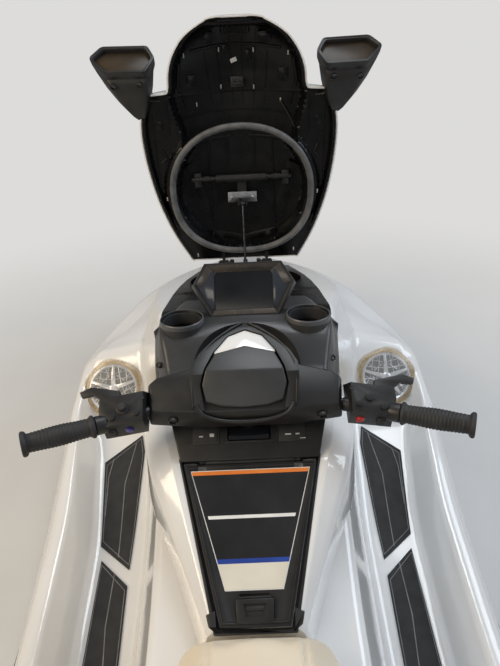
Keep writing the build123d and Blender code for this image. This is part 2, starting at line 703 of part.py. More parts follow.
with BuildPart() as grips:
    with BuildSketch(bar_plane.offset(GRIP_START)):
        Circle(GRIP_RADIUS + 5)
    extrude(amount=6)
    with BuildSketch(bar_plane.offset(GRIP_START + 6)):
        Circle(GRIP_RADIUS)
    extrude(amount=GRIP_LENGTH - 12)
    with BuildSketch(bar_plane.offset(bar_length - 6)):
        Circle(GRIP_RADIUS + 6)
    extrude(amount=9)
    with BuildSketch(bar_plane):
        Circle(BAR_RADIUS)
    extrude(amount=bar_length, mode=Mode.SUBTRACT)
    mirror(about=Plane.YZ)

BOX_NEAR = 196.0
BOX_FAR = 292.0
with BuildPart() as switch_box:
    with BuildSketch(steer_plane.offset(-16)):
        Polygon((BOX_NEAR, -46), (BOX_FAR - 14, -58), (BOX_FAR, -20), (BOX_FAR, 14), (BOX_NEAR, 34), align=None)
    with BuildSketch(steer_plane.offset(34)):
        Polygon((BOX_NEAR + 2, -40), (BOX_FAR - 18, -50), (BOX_FAR - 8, -18), (BOX_FAR - 8, 6), (BOX_NEAR + 6, 20),
                align=None)
    loft(ruled=True)
    with BuildSketch(bar_plane):
        Circle(BAR_RADIUS)
    extrude(amount=bar_length, mode=Mode.SUBTRACT)

# Finger levers in front of the switch boxes
with BuildPart() as lever:
    with BuildSketch(steer_plane.offset(-8)):
        Polygon(
            (BOX_NEAR + 58, 8), (BOX_NEAR + 60, 34), (BOX_FAR + 22, 44), (BOX_FAR + 44, 34),
            (BOX_FAR + 40, 24), (BOX_FAR + 18, 28), (BOX_FAR - 14, 8), align=None,
        )
    extrude(amount=12)

# Buttons on top of the box: place and radius
BUTTONS = [((234, -12), 8), ((258, -32), 7), ((212, -24), 6)]
with BuildPart() as buttons:
    with BuildSketch(steer_plane.offset(33)):
        for place, radius in BUTTONS:
            with Locations(place):
                Circle(radius)
    extrude(amount=5)

with BuildPart() as switch_boxes:
    add(switch_box.part)
    add(lever.part)
    add(buttons.part)
    mirror(about=Plane.YZ)

# Top of the cowl and of the pad in side view, from the rear forwards
COWL_LINE = [(-26, 20), (44, 46), (96, 36), (ARCH_REACH, 4)]
PAD_LINE = [(-18, 24), (48, 50), (110, 38)]
COWL_OUTLINE = [(100, -22), (112, 30), (110, 66), (94, 96), (63, 136), (30, 167), (0, ARCH_REACH)]
COWL_OPENING = [(80, -24), (90, 24), (82, 58), (66, 96), (38, 140), (0, 158)]
PAD_OUTLINE = [(0, -18), (46, -15), (78, -6), (86, 24), (78, 56), (62, 90), (0, 107)]
INSERT_REAR = [(62, 90.5), (0, 107.5)]


def under_line(line, depth):
    """Everything under a line of the side view of the steering head."""
    with BuildPart() as under:
        with BuildSketch(steer_side_plane.offset(-200)):
            Polygon(*line, (line[-1][0] + 20, -depth), (line[0][0] - 20, -depth), align=None)
        extrude(amount=400)
    return under.part


# Raised cowl round the pad, pointed at the front
with BuildPart() as steering_arch:
    with BuildSketch(steer_plane.offset(-30)):
        Polygon(*both_sides(COWL_OUTLINE), align=None)
        Polygon(*both_sides(COWL_OPENING), align=None, mode=Mode.SUBTRACT)
    extrude(amount=110)
    add(under_line(COWL_LINE, 30), mode=Mode.INTERSECT)
    add(steering_cover.part, mode=Mode.SUBTRACT)

# Pad over the middle of the handlebar, with a ridge across it
with BuildPart() as handle_pad:
    with BuildSketch(steer_plane.offset(-10)):
        Polygon(*both_sides(PAD_OUTLINE), align=None)
    extrude(amount=110)
    add(under_line(PAD_LINE, 10), mode=Mode.INTERSECT)
    add(steering_cover.part, mode=Mode.SUBTRACT)

# White insert between the pad and the point of the cowl
with BuildPart() as arch_insert:
    with BuildSketch(steer_plane.offset(-20)):
        Polygon(*both_sides(INSERT_REAR[::-1] + COWL_OPENING[-3:]), align=None)
    extrude(amount=100)
    add(under_line([(y, z - 3) for y, z in COWL_LINE], 20), mode=Mode.INTERSECT)
    add(steering_cover.part, mode=Mode.SUBTRACT)

# Fairing that carries the glove box, from the seat to the dash
lid_slope = math.atan2(LID_FRONT[1] - LID_REAR[1], LID_FRONT[0] - LID_REAR[0])
lid_length = math.hypot(LID_FRONT[1] - LID_REAR[1], LID_FRONT[0] - LID_REAR[0])
lid_plane = Plane(
    origin=(0, LID_FRONT[0], LID_FRONT[1]),
    x_dir=(1, 0, 0),
    z_dir=(0, -math.sin(lid_slope), math.cos(lid_slope)),
)


def lid_z(y):
    """Height of the lid's face above a station."""
    return LID_REAR[1] + (y - LID_REAR[0]) * math.tan(lid_slope)


def lid_outline(margin):
    """Tapered outline of the lid, grown by a margin."""
    return [
        (LID_HALF_FRONT + margin, margin), (-LID_HALF_FRONT - margin, margin),
        (-LID_HALF_REAR - margin, -lid_length - margin), (LID_HALF_REAR + margin, -lid_length - margin),
    ]


FAIRING_COLUMNS = ("y", "foot_x", "foot_z", "edge_x", "edge_z", "top_x", "top_z")
FAIRING_SECTIONS = [
    (-30.0, 98.0, 500.0, 82.0, lid_z(-30) - 16, 72.0, lid_z(-30)),
    (100.0, 152.0, 488.0, 140.0, lid_z(100) - 20, 114.0, lid_z(100)),
    (235.0, 214.0, 500.0, 202.0, lid_z(235) - 22, 156.0, lid_z(235)),
    (330.0, 244.0, 540.0, 230.0, lid_z(235) - 20, 182.0, lid_z(235) + 4),
    (424.5, 238.0, 590.0, 228.0, lid_z(235) - 14, 196.0, lid_z(235) + 6),
]
column_hole = 36.0
KNUCKLE_RADIUS = 4.0
HINGE_EAR_X = 96.0
with BuildPart() as front_fairing:
    for y, foot_x, foot_z, edge_x, edge_z, top_x, top_z in FAIRING_SECTIONS:
        side = [(0, 440), (foot_x, 440), (foot_x, foot_z), (edge_x, edge_z), (top_x, top_z), (0, top_z)]
        with BuildSketch(station(y)):
            Polygon(*both_sides(side), align=None)
    loft(ruled=True)
    add(deck.part, mode=Mode.SUBTRACT)
    with BuildSketch(Plane.XY.offset(430)):
        with Locations((0, (BAY_FRONT_Y + BAY_REAR_Y) / 2)):
            RectangleRounded(2 * BAY_HALF_WIDTH, BAY_FRONT_Y - BAY_REAR_Y, 40)
    extrude(amount=62, mode=Mode.SUBTRACT)
    with BuildSketch(steer_plane.offset(-230)):
        Circle(column_hole)
    extrude(amount=300, mode=Mode.SUBTRACT)
    with BuildSketch(lid_plane):
        Polygon(*lid_outline(RUNNING_GAP), align=None)
    extrude(amount=-LID_THICK - 1, mode=Mode.SUBTRACT)
    with BuildSketch(lid_plane):
        Polygon(*lid_outline(-14), align=None)
    extrude(amount=-BIN_DEPTH, mode=Mode.SUBTRACT)
    # Ears and pin of the lid's hinge
    for x in (-HINGE_EAR_X, HINGE_EAR_X):
        with Locations((x, LID_FRONT[0] + 5, LID_FRONT[1] - 2)):
            Box(6, 16, 9)
    with Locations(Location((0, LID_FRONT[0], LID_FRONT[1]), (0, 90, 0))):
        Cylinder(2, 2 * HINGE_EAR_X)

# Glove box: bin, lid and latch
with BuildPart() as glovebox_bin:
    with BuildSketch(lid_plane.offset(-LID_THICK - 1)):
        Polygon(*lid_outline(-14), align=None)
    extrude(amount=-BIN_DEPTH + LID_THICK + 1)
    with BuildSketch(lid_plane.offset(-LID_THICK - 1)):
        Polygon(*lid_outline(-14 - WALL), align=None)
    extrude(amount=-BIN_DEPTH + LID_THICK + 1 + WALL, mode=Mode.SUBTRACT)
    add(deck.part, mode=Mode.SUBTRACT)

LATCH_WIDTH = 52.0
LATCH_LENGTH = 40.0
LATCH_MIDDLE = -lid_length + 30.0
LID_BORDER = 12.0
with BuildPart() as glovebox_lid:
    with BuildSketch(lid_plane):
        Polygon(*lid_outline(0), align=None)
    extrude(amount=-LID_THICK)
    with BuildSketch(lid_plane):
        Polygon(*lid_outline(-LID_BORDER), align=None)
    extrude(amount=-3, mode=Mode.SUBTRACT)
    with BuildSketch(lid_plane):
        with Locations((0, LATCH_MIDDLE)):
            Rectangle(LATCH_WIDTH, LATCH_LENGTH)
    extrude(amount=-8, mode=Mode.SUBTRACT)
    # Hinge knuckle along the front edge, notched for the ears
    with Locations(Location((0, LID_FRONT[0], LID_FRONT[1]), (0, 90, 0))):
        Cylinder(KNUCKLE_RADIUS, 2 * HINGE_EAR_X - 20)
        Cylinder(2 + PIN_GAP, 2 * HINGE_EAR_X, mode=Mode.SUBTRACT)
    for x in (-HINGE_EAR_X, HINGE_EAR_X):
        with Locations((x, LID_FRONT[0], LID_FRONT[1] - 6)):
            Box(18, 26, 30, mode=Mode.SUBTRACT)

with BuildPart() as glovebox_latch:
    with BuildSketch(lid_plane.offset(-8)):
        with Locations((0, LATCH_MIDDLE)):
            RectangleRounded(LATCH_WIDTH - 2, LATCH_LENGTH - 2, 5)
    extrude(amount=10)
    with BuildSketch(lid_plane.offset(2)):
        with Locations((0, LATCH_MIDDLE + 4)):
            RectangleRounded(LATCH_WIDTH - 18, LATCH_LENGTH - 20, 4)
    extrude(amount=-5, mode=Mode.SUBTRACT)

# Switch panel below the steering cover, with a pocket and two key pads
PANEL_PLACE = (0.0, 283.0, 720.0)
PANEL_FACE = (0.0, -42.0, 78.0)
with BuildPart() as lower_console:
    with BuildSketch(Plane.YZ.offset(-128)):
        Polygon((244, 640), (330, 640), (330, 741), (322, 741), (244, 699), align=None)
    extrude(amount=256)
    add(front_fairing.part, mode=Mode.SUBTRACT)
    with BuildSketch(Plane.XY.offset(600)):
        Rectangle(500, 500)
    extrude(amount=lid_z(235) + 2 - 600, mode=Mode.SUBTRACT)
    panel_plane = Plane(origin=PANEL_PLACE, x_dir=(1, 0, 0), z_dir=PANEL_FACE)
    with BuildSketch(panel_plane.offset(-0.5)):
        with Locations((-80, -8), (80, -8)):
            RectangleRounded(44, 34, 4)
    extrude(amount=3.5)
    with BuildSketch(panel_plane):
        with Locations((0, -8)):
            RectangleRounded(84, 28, 4)
    extrude(amount=-7, mode=Mode.SUBTRACT)
    with BuildSketch(steer_plane.offset(-230)):
        Circle(column_hole)
    extrude(amount=300, mode=Mode.SUBTRACT)

# Seats
SEAT_COLUMNS = ("y", "foot_x", "side_x", "side_z", "top_x", "top_z", "middle_z")
SEAT_SECTIONS = {
    "front_seat": [
        (-32.0, 128.0, 120.0, 540.0, 76.0, 578.0, 582.0),
        (-140.0, 176.0, 170.0, 560.0, 108.0, 598.0, 606.0),
        (-330.0, 186.0, 182.0, 560.0, 134.0, 608.0, 614.0),
        (-520.0, 186.0, 184.0, 570.0, 146.0, 634.0, 640.0),
        (-600.0, 186.0, 184.0, 590.0, 150.0, 690.0, 696.0),
    ],
    "rear_seat": [
        (-604.0, 186.0, 184.0, 600.0, 150.0, 706.0, 712.0),
        (-760.0, 182.0, 180.0, 600.0, 146.0, 690.0, 697.0),
        (-1080.0, 174.0, 170.0, 590.0, 132.0, 680.0, 688.0),
        (-1186.0, 168.0, 152.0, 570.0, 104.0, 656.0, 662.0),
    ],
}
seats = {}
for name, rows in SEAT_SECTIONS.items():
    with BuildPart() as seat:
        for y, foot_x, side_x, side_z, top_x, top_z, middle_z in rows:
            with BuildSketch(station(y)):
                Polygon(
                    *both_sides([(0, 400), (foot_x, 400), (side_x, side_z), (top_x, top_z), (0, middle_z)]),
                    align=None,
                )
        loft(ruled=True)
        add(deck.part, mode=Mode.SUBTRACT)
        with BuildSketch(Plane.XY.offset(380)):
            with Locations((0, (BAY_FRONT_Y + BAY_REAR_Y) / 2)):
                Rectangle(2 * BAY_HALF_WIDTH, BAY_FRONT_Y - BAY_REAR_Y)
        extrude(amount=68, mode=Mode.SUBTRACT)
        if name == "front_seat":
            add(front_fairing.part, mode=Mode.SUBTRACT)
            add(glovebox_bin.part, mode=Mode.SUBTRACT)
    seats[name] = seat
front_seat = seats["front_seat"]
rear_seat = seats["rear_seat"]

# Foam mats that follow the footwell floor
MAT_THICK = 5.0
MAT_OUTLINES = [
    [(366, 741), (352, 684), (351, 327), (443, 396), (475, 648)],
    [(433, 355), (349, 284), (336, 40), (424, 40)],
    [(424, 20), (336, 20), (330, -560), (420, -560)],
    [(420, -580), (330, -580), (330, -1180), (420, -1180)],
]
raised_deck = deck.part.moved(Location((0, 0, MAT_THICK)))
with BuildPart() as deck_mats:
    with BuildSketch(Plane.XY.offset(100)):
        for outline in MAT_OUTLINES:
            Polygon(*outline, align=None)
            Polygon(*[(-x, y) for x, y in outline], align=None)
        with Locations((0, -1540)):
            RectangleRounded(820, 380, 60)
    extrude(amount=400)
    add(raised_deck, mode=Mode.INTERSECT)
    add(deck.part, mode=Mode.SUBTRACT)

# Speakers on the faces in front of the footwells
SPEAKER_PLACE = (458.0, 858.0, 368.0)
SPEAKER_LEAN = 46.5
SPEAKER_RADIUS = 84.0
lean = math.radians(SPEAKER_LEAN)
speaker_plane = Plane(origin=SPEAKER_PLACE, x_dir=(1, 0, 0), z_dir=(0, -math.sin(lean), math.cos(lean)))
with BuildPart() as speaker:
    with BuildSketch(speaker_plane.offset(-20)):
        Circle(SPEAKER_RADIUS)
    extrude(amount=34)
    add(deck.part, mode=Mode.SUBTRACT)
    with BuildSketch(speaker_plane.offset(14)):
        Circle(SPEAKER_RADIUS - 8)
        with PolarLocations(0, 7):
            with Locations((0, 0)):
                Rectangle(2 * SPEAKER_RADIUS, 7, mode=Mode.SUBTRACT)
        Circle(22, mode=Mode.SUBTRACT)
    extrude(amount=-6, mode=Mode.SUBTRACT)

with BuildPart() as speakers:
    add(speaker.part)
    mirror(about=Plane.YZ)

# Grab handle behind the rear seat
with BuildPart() as grab_handle:
    with BuildLine() as handle_path:
        FilletPolyline(
            (-112, -1212, 400), (-112, -1212, 500), (-112, -1272, 572),
            (112, -1272, 572), (112, -1212, 500), (112, -1212, 400), radius=30,
        )
    with BuildSketch(Plane(origin=(-112, -1212, 400), z_dir=(0, 0, 1))):
        Circle(12)
    sweep(path=handle_path.line)
    add(deck.part, mode=Mode.SUBTRACT)

# Boarding step on the transom, port side, folded up
STEP_X = (-390.0, -210.0)
STEP_PIVOT_Y = STERN_Y - 28.0
STEP_PIVOT_Z = 6.0
STEP_LENGTH = 128.0
STEP_TUBE = 8.0
with BuildPart() as boarding_step:
    with BuildLine() as step_path:
        FilletPolyline(
            (STEP_X[0], STEP_PIVOT_Y, STEP_PIVOT_Z + 13),
            (STEP_X[0], STEP_PIVOT_Y, STEP_PIVOT_Z + STEP_LENGTH),
            (STEP_X[1], STEP_PIVOT_Y, STEP_PIVOT_Z + STEP_LENGTH),
            (STEP_X[1], STEP_PIVOT_Y, STEP_PIVOT_Z + 13), radius=30,
        )
    with BuildSketch(Plane(origin=(STEP_X[0], STEP_PIVOT_Y, STEP_PIVOT_Z + 13), z_dir=(0, 0, 1))):
        Circle(STEP_TUBE)
    sweep(path=step_path.line)
    for x in STEP_X:
        with BuildSketch(Plane.YZ.offset(x - 7)):
            with Locations((STEP_PIVOT_Y, STEP_PIVOT_Z)):
                Circle(10)
            with Locations((STEP_PIVOT_Y, STEP_PIVOT_Z + 10)):
                Rectangle(16, 20)
            with Locations((STEP_PIVOT_Y, STEP_PIVOT_Z)):
                Circle(PIN_RADIUS + 0.2, mode=Mode.SUBTRACT)
        extrude(amount=14)

# Metal fittings: brackets of the step, and tow eyes
with BuildPart() as metal_fittings:
    for x in STEP_X:
        for side in (-1, 1):
            with BuildSketch(Plane.YZ.offset(x + side * 11 - 3)):
                with Locations((STEP_PIVOT_Y, STEP_PIVOT_Z)):
                    Circle(11)
                with Locations((STERN_Y - 14, STEP_PIVOT_Z)):
                    Rectangle(28, 22)
            extrude(amount=6)
        with Locations((x, STERN_Y - 2, STEP_PIVOT_Z)):
            Box(44, 4, 30)
        with Locations(Location((x, STEP_PIVOT_Y, STEP_PIVOT_Z), (0, 90, 0))):
            Cylinder(PIN_RADIUS, 30)
    # Tow eyes at the stern and the bow
    for y, z, way in ((STERN_Y, 96.0, -1), (HALF_LENGTH - 20.0, 300.0, 1)):
        for x in (-16, 16):
            with Locations(Location((x, y + way * 14, z), (90, 0, 0))):
                Cylinder(4.2, 28)
        with Locations(Location((0, y + way * 28, z), (0, 90, 0))):
            Cylinder(5, 42)
    add(deck.part, mode=Mode.SUBTRACT)

# Jet pump: housing with stator, impeller, steering nozzle and reverse bucket
PUMP_AXIS_TURN = (90, 0, 0)
STATOR_FRONT_Y = -1500.0
STATOR_REAR_Y = -1570.0
OUTLET_NECK_Y = -1620.0
OUTLET_Y = NOZZLE_PIVOT_Y + 8
OUTLET_RADIUS = 44.0
NOZZLE_RADIUS = 64.0
NOZZLE_FRONT_Y = NOZZLE_PIVOT_Y + 14
NOZZLE_EXIT_Y = NOZZLE_PIVOT_Y - 108.0
NOZZLE_EXIT_RADIUS = 52.0
BUCKET_INNER = 128.0
BUCKET_OUTER = 133.0
BUCKET_ARM_X = 94.0
BUCKET_ARM_THICK = 6.0


def pump_station(y):
    """Plane across the pump, centred on its axis, facing the stern."""
    return Plane(origin=(0, y, PUMP_Z), x_dir=(1, 0, 0), z_dir=(0, -1, 0))


with BuildPart() as jet_pump:
    with BuildSketch(pump_station(PUMP_FRONT_Y)):
        Circle(PUMP_OUTER + 6)
    extrude(amount=12)
    with BuildSketch(pump_station(PUMP_FRONT_Y)):
        Circle(PUMP_OUTER - 4)
    extrude(amount=PUMP_FRONT_Y - STATOR_REAR_Y)
    with BuildSketch(pump_station(STATOR_REAR_Y)):
        Circle(PUMP_OUTER - 4)
    with BuildSketch(pump_station(OUTLET_NECK_Y)):
        Circle(OUTLET_RADIUS)
    loft()
    with BuildSketch(pump_station(OUTLET_NECK_Y)):
        Circle(OUTLET_RADIUS)
    extrude(amount=OUTLET_NECK_Y - OUTLET_Y)
    with BuildSketch(pump_station(PUMP_FRONT_Y)):
        Circle(PUMP_BORE)
    extrude(amount=PUMP_FRONT_Y - STATOR_REAR_Y, mode=Mode.SUBTRACT)
    with BuildSketch(pump_station(STATOR_REAR_Y)):
        Circle(PUMP_BORE)
    with BuildSketch(pump_station(OUTLET_NECK_Y)):
        Circle(OUTLET_RADIUS - 6)
    loft(mode=Mode.SUBTRACT)
    with BuildSketch(pump_station(OUTLET_NECK_Y)):
        Circle(OUTLET_RADIUS - 6)
    extrude(amount=OUTLET_NECK_Y - OUTLET_Y, mode=Mode.SUBTRACT)
    # Stator hub and vanes
    with BuildSketch(pump_station(STATOR_FRONT_Y)):
        Circle(IMPELLER_HUB)
        with PolarLocations(0, 6):
            with Locations((0, (IMPELLER_HUB + PUMP_BORE) / 2)):
                Rectangle(4, PUMP_BORE - IMPELLER_HUB + 8)
    extrude(amount=STATOR_FRONT_Y - STATOR_REAR_Y)
    # Bosses for the reverse bucket and ears for the nozzle
    for side in (-1, 1):
        with BuildSketch(Plane.YZ.offset(side * (BUCKET_ARM_X - 0.3))):
            with Locations((NOZZLE_PIVOT_Y, PUMP_Z)):
                Circle(13)
        extrude(amount=-side * 16)
        with BuildSketch(Plane.YZ.offset(side * (BUCKET_ARM_X - 8.3))):
            Polygon(
                (NOZZLE_PIVOT_Y, PUMP_Z + 13), (NOZZLE_PIVOT_Y, PUMP_Z - 13),
                (STATOR_REAR_Y - 4, PUMP_Z - 26), (STATOR_REAR_Y - 4, PUMP_Z + 26), align=None,
            )
        extrude(amount=-side * 8)
        with BuildSketch(Plane.XZ.offset(-(STATOR_REAR_Y + 2))):
            with Locations((side * 84, PUMP_Z)):
                Rectangle(20, 40)
        extrude(amount=20)
        with BuildSketch(Plane.XY.offset(PUMP_Z + side * (NOZZLE_RADIUS + 8.5))):
            with Locations((0, NOZZLE_PIVOT_Y)):
                Circle(13)
            with Locations((0, NOZZLE_PIVOT_Y + 48)):
                Rectangle(26, 96)
        extrude(amount=side * 6)
        with BuildSketch(Plane.XY.offset(PUMP_Z + side * (NOZZLE_RADIUS - 2))):
            with Locations((0, NOZZLE_PIVOT_Y + 82)):
                Rectangle(26, 28)
        extrude(amount=side * 12)
        with Locations((0, NOZZLE_PIVOT_Y, PUMP_Z + side * (NOZZLE_RADIUS + 5))):
            Cylinder(PIN_RADIUS, 16)

with BuildPart() as impeller:
    with BuildSketch(pump_station(IMPELLER_Y + 45)):
        Circle(SHAFT_RADIUS + 4)
    with BuildSketch(pump_station(IMPELLER_Y + 10)):
        Circle(IMPELLER_HUB)
    loft()
    with BuildSketch(pump_station(IMPELLER_Y + 10)):
        Circle(IMPELLER_HUB)
    extrude(amount=IMPELLER_Y + 10 - STATOR_FRONT_Y - 1)
    with BuildSketch(pump_station(SHAFT_END_Y - 2)):
        Circle(SHAFT_RADIUS)
    extrude(amount=SHAFT_END_Y - 2 - (IMPELLER_Y + 40))
    for turn in range(IMPELLER_BLADES):
        blade = Location((0, IMPELLER_Y - 20, PUMP_Z)) * Location((0, 0, 0), (0, turn * 360 / IMPELLER_BLADES, 0))
        with Locations(blade * Location((0, 0, (IMPELLER_HUB + IMPELLER_RADIUS) / 2 - 3), (0, 0, 52))):
            Box(4, 58, IMPELLER_RADIUS - IMPELLER_HUB + 6)
    with BuildSketch(pump_station(IMPELLER_Y + 60)):
        Circle(IMPELLER_RADIUS + 60)
        Circle(IMPELLER_RADIUS, mode=Mode.SUBTRACT)
    extrude(amount=160, mode=Mode.SUBTRACT)

with BuildPart() as steering_nozzle:
    with BuildSketch(pump_station(NOZZLE_FRONT_Y)):
        Circle(NOZZLE_RADIUS)
    with BuildSketch(pump_station(NOZZLE_EXIT_Y)):
        Circle(NOZZLE_EXIT_RADIUS)
    loft()
    with BuildSketch(pump_station(NOZZLE_FRONT_Y)):
        Circle(NOZZLE_RADIUS - 5)
    with BuildSketch(pump_station(NOZZLE_EXIT_Y)):
        Circle(NOZZLE_EXIT_RADIUS - 6)
    loft(mode=Mode.SUBTRACT)
    for side in (-1, 1):
        with BuildSketch(Plane.XY.offset(PUMP_Z + side * (NOZZLE_RADIUS - 6))):
            with Locations((0, NOZZLE_PIVOT_Y)):
                Circle(12)
        extrude(amount=side * 14)
        with BuildSketch(Plane.XY.offset(PUMP_Z + side * (NOZZLE_RADIUS - 20))):
            with Locations((0, NOZZLE_PIVOT_Y)):
                Circle(PIN_RADIUS + 0.3)
        extrude(amount=side * 40, mode=Mode.SUBTRACT)

with BuildPart() as reverse_bucket:
    with BuildSketch(Plane.YZ.offset(-BUCKET_ARM_X - BUCKET_ARM_THICK)):
        with Locations((NOZZLE_PIVOT_Y, PUMP_Z)):
            Circle(BUCKET_OUTER)
            Circle(BUCKET_INNER, mode=Mode.SUBTRACT)
    extrude(amount=2 * (BUCKET_ARM_X + BUCKET_ARM_THICK))
    for side in (-1, 1):
        with BuildSketch(Plane.YZ.offset(side * BUCKET_ARM_X)):
            with Locations((NOZZLE_PIVOT_Y, PUMP_Z)):
                Circle(BUCKET_OUTER)
        extrude(amount=side * BUCKET_ARM_THICK)
    # Keep the wedge above the jet and the ends round the pivots
    with BuildSketch(Plane.YZ.offset(-150)):
        with BuildLine():
            Polyline(
                (NOZZLE_PIVOT_Y, PUMP_Z - 14), (NOZZLE_PIVOT_Y - 150, PUMP_Z + 112),
                (NOZZLE_PIVOT_Y - 150, PUMP_Z + 200), (NOZZLE_PIVOT_Y + 22, PUMP_Z + 200),
                (NOZZLE_PIVOT_Y + 14, PUMP_Z), close=True,
            )
        make_face()
    extrude(amount=300, mode=Mode.INTERSECT)

# Ride plate that closes the tunnel below, and the intake grate
GRATE_Z = -214.0
with BuildPart() as ride_plate:
    with BuildSketch(station(PUMP_FRONT_Y - 4)):
        edge = TUNNEL_HALF_WIDTH
        Polygon(
            (-edge, -180), (-edge, -208), (-edge + 10, -222), (edge - 10, -222), (edge, -208), (edge, -180),
            (edge - 6, -180), (edge - 6, -206), (edge - 12, -215), (-edge + 12, -215), (-edge + 6, -206),
            (-edge + 6, -180), align=None,
        )
    extrude(amount=410)
    # Bars of the intake grate in front of it
    with BuildSketch(station(-925)):
        for x in (-40, 0, 40):
            with Locations((x, GRATE_Z)):
                RectangleRounded(9, 14, 3)
    extrude(amount=400)
    for y in (-930, -1320):
        with Locations((0, y, GRATE_Z)):
            Box(2 * PUMP_BORE, 12, 10)
    add(hull.part, mode=Mode.SUBTRACT)

# Sponsons on the hull sides and the engine block in its bay
with BuildPart() as sponsons:
    for y, scale in ((-1560, 1.0), (-900, 0.82)):
        with BuildSketch(station(y)):
            Polygon((480, -70), (556 * scale + 96 * (1 - scale) * 4, -52), (572, 6), (540, 44), align=None)
    loft(ruled=True)
    add(hull.part, mode=Mode.SUBTRACT)
    add(rub_rail.part, mode=Mode.SUBTRACT)
    mirror(about=Plane.YZ)

with BuildPart() as engine_block:
    with Locations((0, ENGINE_Y, BAY_FLOOR)):
        Box(ENGINE_WIDTH, ENGINE_LENGTH, ENGINE_HEIGHT - 60,
            align=(Align.CENTER, Align.CENTER, Align.MIN))
    with Locations((0, ENGINE_Y, BAY_FLOOR + ENGINE_HEIGHT - 60)):
        Box(ENGINE_WIDTH * 0.6, ENGINE_LENGTH * 0.8, 60, align=(Align.CENTER, Align.CENTER, Align.MIN))

named = {
    "hull": hull, "deck": deck, "storage_tub": storage_tub, "rub_rail": rub_rail,
    "hood_shell": hood_shell, "hood_liner": hood_liner, "hood_seal": hood_seal,
    "hood_hinge_arm": hood_hinge_arm, "hood_hinge_base": hood_hinge_base,
    "hood_frame": hood_frame,
    "strut_barrel": strut_barrel, "strut_rod": strut_rod, "strut_clevis": strut_clevis,
    "mirror_housings": mirror_housings, "mirror_glasses": mirror_glasses,
    "dash_console": dash_console, "display_bezel": display_bezel, "display_screen": display_screen,
    "steering_column": steering_column, "steering_cover": steering_cover,
    "handle_pad": handle_pad, "steering_arch": steering_arch, "arch_insert": arch_insert,
    "handlebar": handlebar, "grips": grips, "switch_boxes": switch_boxes,
    "front_fairing": front_fairing, "glovebox_bin": glovebox_bin, "glovebox_lid": glovebox_lid,
    "glovebox_latch": glovebox_latch, "lower_console": lower_console,
    "front_seat": front_seat, "rear_seat": rear_seat, "deck_mats": deck_mats,
    "speakers": speakers, "grab_handle": grab_handle, "boarding_step": boarding_step,
    "metal_fittings": metal_fittings, "jet_pump": jet_pump,
    "impeller": impeller, "steering_nozzle": steering_nozzle, "reverse_bucket": reverse_bucket,
    "ride_plate": ride_plate, "sponsons": sponsons,
    "engine_block": engine_block,
}
for name, piece in named.items():
    piece.part.label = name
    export_step(piece.part, "parts/" + name + ".step")
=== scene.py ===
"""Personal watercraft with its front hood open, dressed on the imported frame."""
import json
import math

import bpy
from mathutils import Matrix, Vector

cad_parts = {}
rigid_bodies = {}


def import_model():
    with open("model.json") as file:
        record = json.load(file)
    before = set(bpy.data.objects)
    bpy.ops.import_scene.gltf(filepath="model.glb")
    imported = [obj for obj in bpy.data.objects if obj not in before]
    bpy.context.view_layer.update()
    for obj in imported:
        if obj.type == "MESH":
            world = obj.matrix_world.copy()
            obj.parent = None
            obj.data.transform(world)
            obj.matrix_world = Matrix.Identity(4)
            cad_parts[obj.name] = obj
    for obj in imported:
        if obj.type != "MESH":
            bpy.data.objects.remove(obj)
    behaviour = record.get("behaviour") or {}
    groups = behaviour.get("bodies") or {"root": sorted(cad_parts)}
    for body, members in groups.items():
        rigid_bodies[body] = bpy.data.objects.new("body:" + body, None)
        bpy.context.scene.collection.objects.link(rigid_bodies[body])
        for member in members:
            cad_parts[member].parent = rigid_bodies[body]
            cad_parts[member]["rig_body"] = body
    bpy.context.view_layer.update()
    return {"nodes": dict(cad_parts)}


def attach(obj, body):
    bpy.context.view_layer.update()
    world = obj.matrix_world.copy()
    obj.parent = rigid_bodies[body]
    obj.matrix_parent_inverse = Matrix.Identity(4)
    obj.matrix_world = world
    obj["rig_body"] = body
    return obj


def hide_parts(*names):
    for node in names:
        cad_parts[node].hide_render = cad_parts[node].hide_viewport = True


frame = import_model()
cad = frame["nodes"]
MM = 0.001


# Materials
def shader_node(tree, kind, **values):
    """A node with values for its inputs; an underscore in a name stands for a space."""
    node = tree.nodes.new("ShaderNode" + kind)
    for name, value in values.items():
        node.inputs[name.replace("_", " ")].default_value = value
    return node


def link(source, output, target, entry):
    source.id_data.links.new(source.outputs[output], target.inputs[entry])


def finish(name, low, high, scale, rough, metal=0.0, coat=0.0, specular=0.5, alpha=1.0):
    """A material whose colour drifts between two tones; rough is one value or a range that drifts too."""
    material = bpy.data.materials.new(name)
    material.use_nodes = True
    tree = material.node_tree
    shader = tree.nodes["Principled BSDF"]
    middle = [(a + b) / 2 for a, b in zip(low, high)]
    for entry, value in (
        ("Base Color", (*middle, 1)), ("Metallic", metal), ("Coat Weight", coat), ("Coat Roughness", 0.06),
        ("Specular IOR Level", specular), ("Alpha", alpha),
    ):
        shader.inputs[entry].default_value = value
    texture = shader_node(tree, "TexNoise", Scale=scale, Detail=6.0)
    ramp = shader_node(tree, "ValToRGB")
    for element, position, colour in zip(ramp.color_ramp.elements, (0.35, 0.65), (low, high)):
        element.position = position
        element.color = (*colour, 1)
    link(shader_node(tree, "TexCoord"), "Object", texture, "Vector")
    link(texture, "Fac", ramp, "Fac")
    link(ramp, "Color", shader, "Base Color")
    if isinstance(rough, float):
        shader.inputs["Roughness"].default_value = rough
        return material
    spread = shader_node(tree, "MapRange", To_Min=rough[0], To_Max=rough[1])
    link(texture, "Fac", spread, "Value")
    link(spread, "Result", shader, "Roughness")
    return material


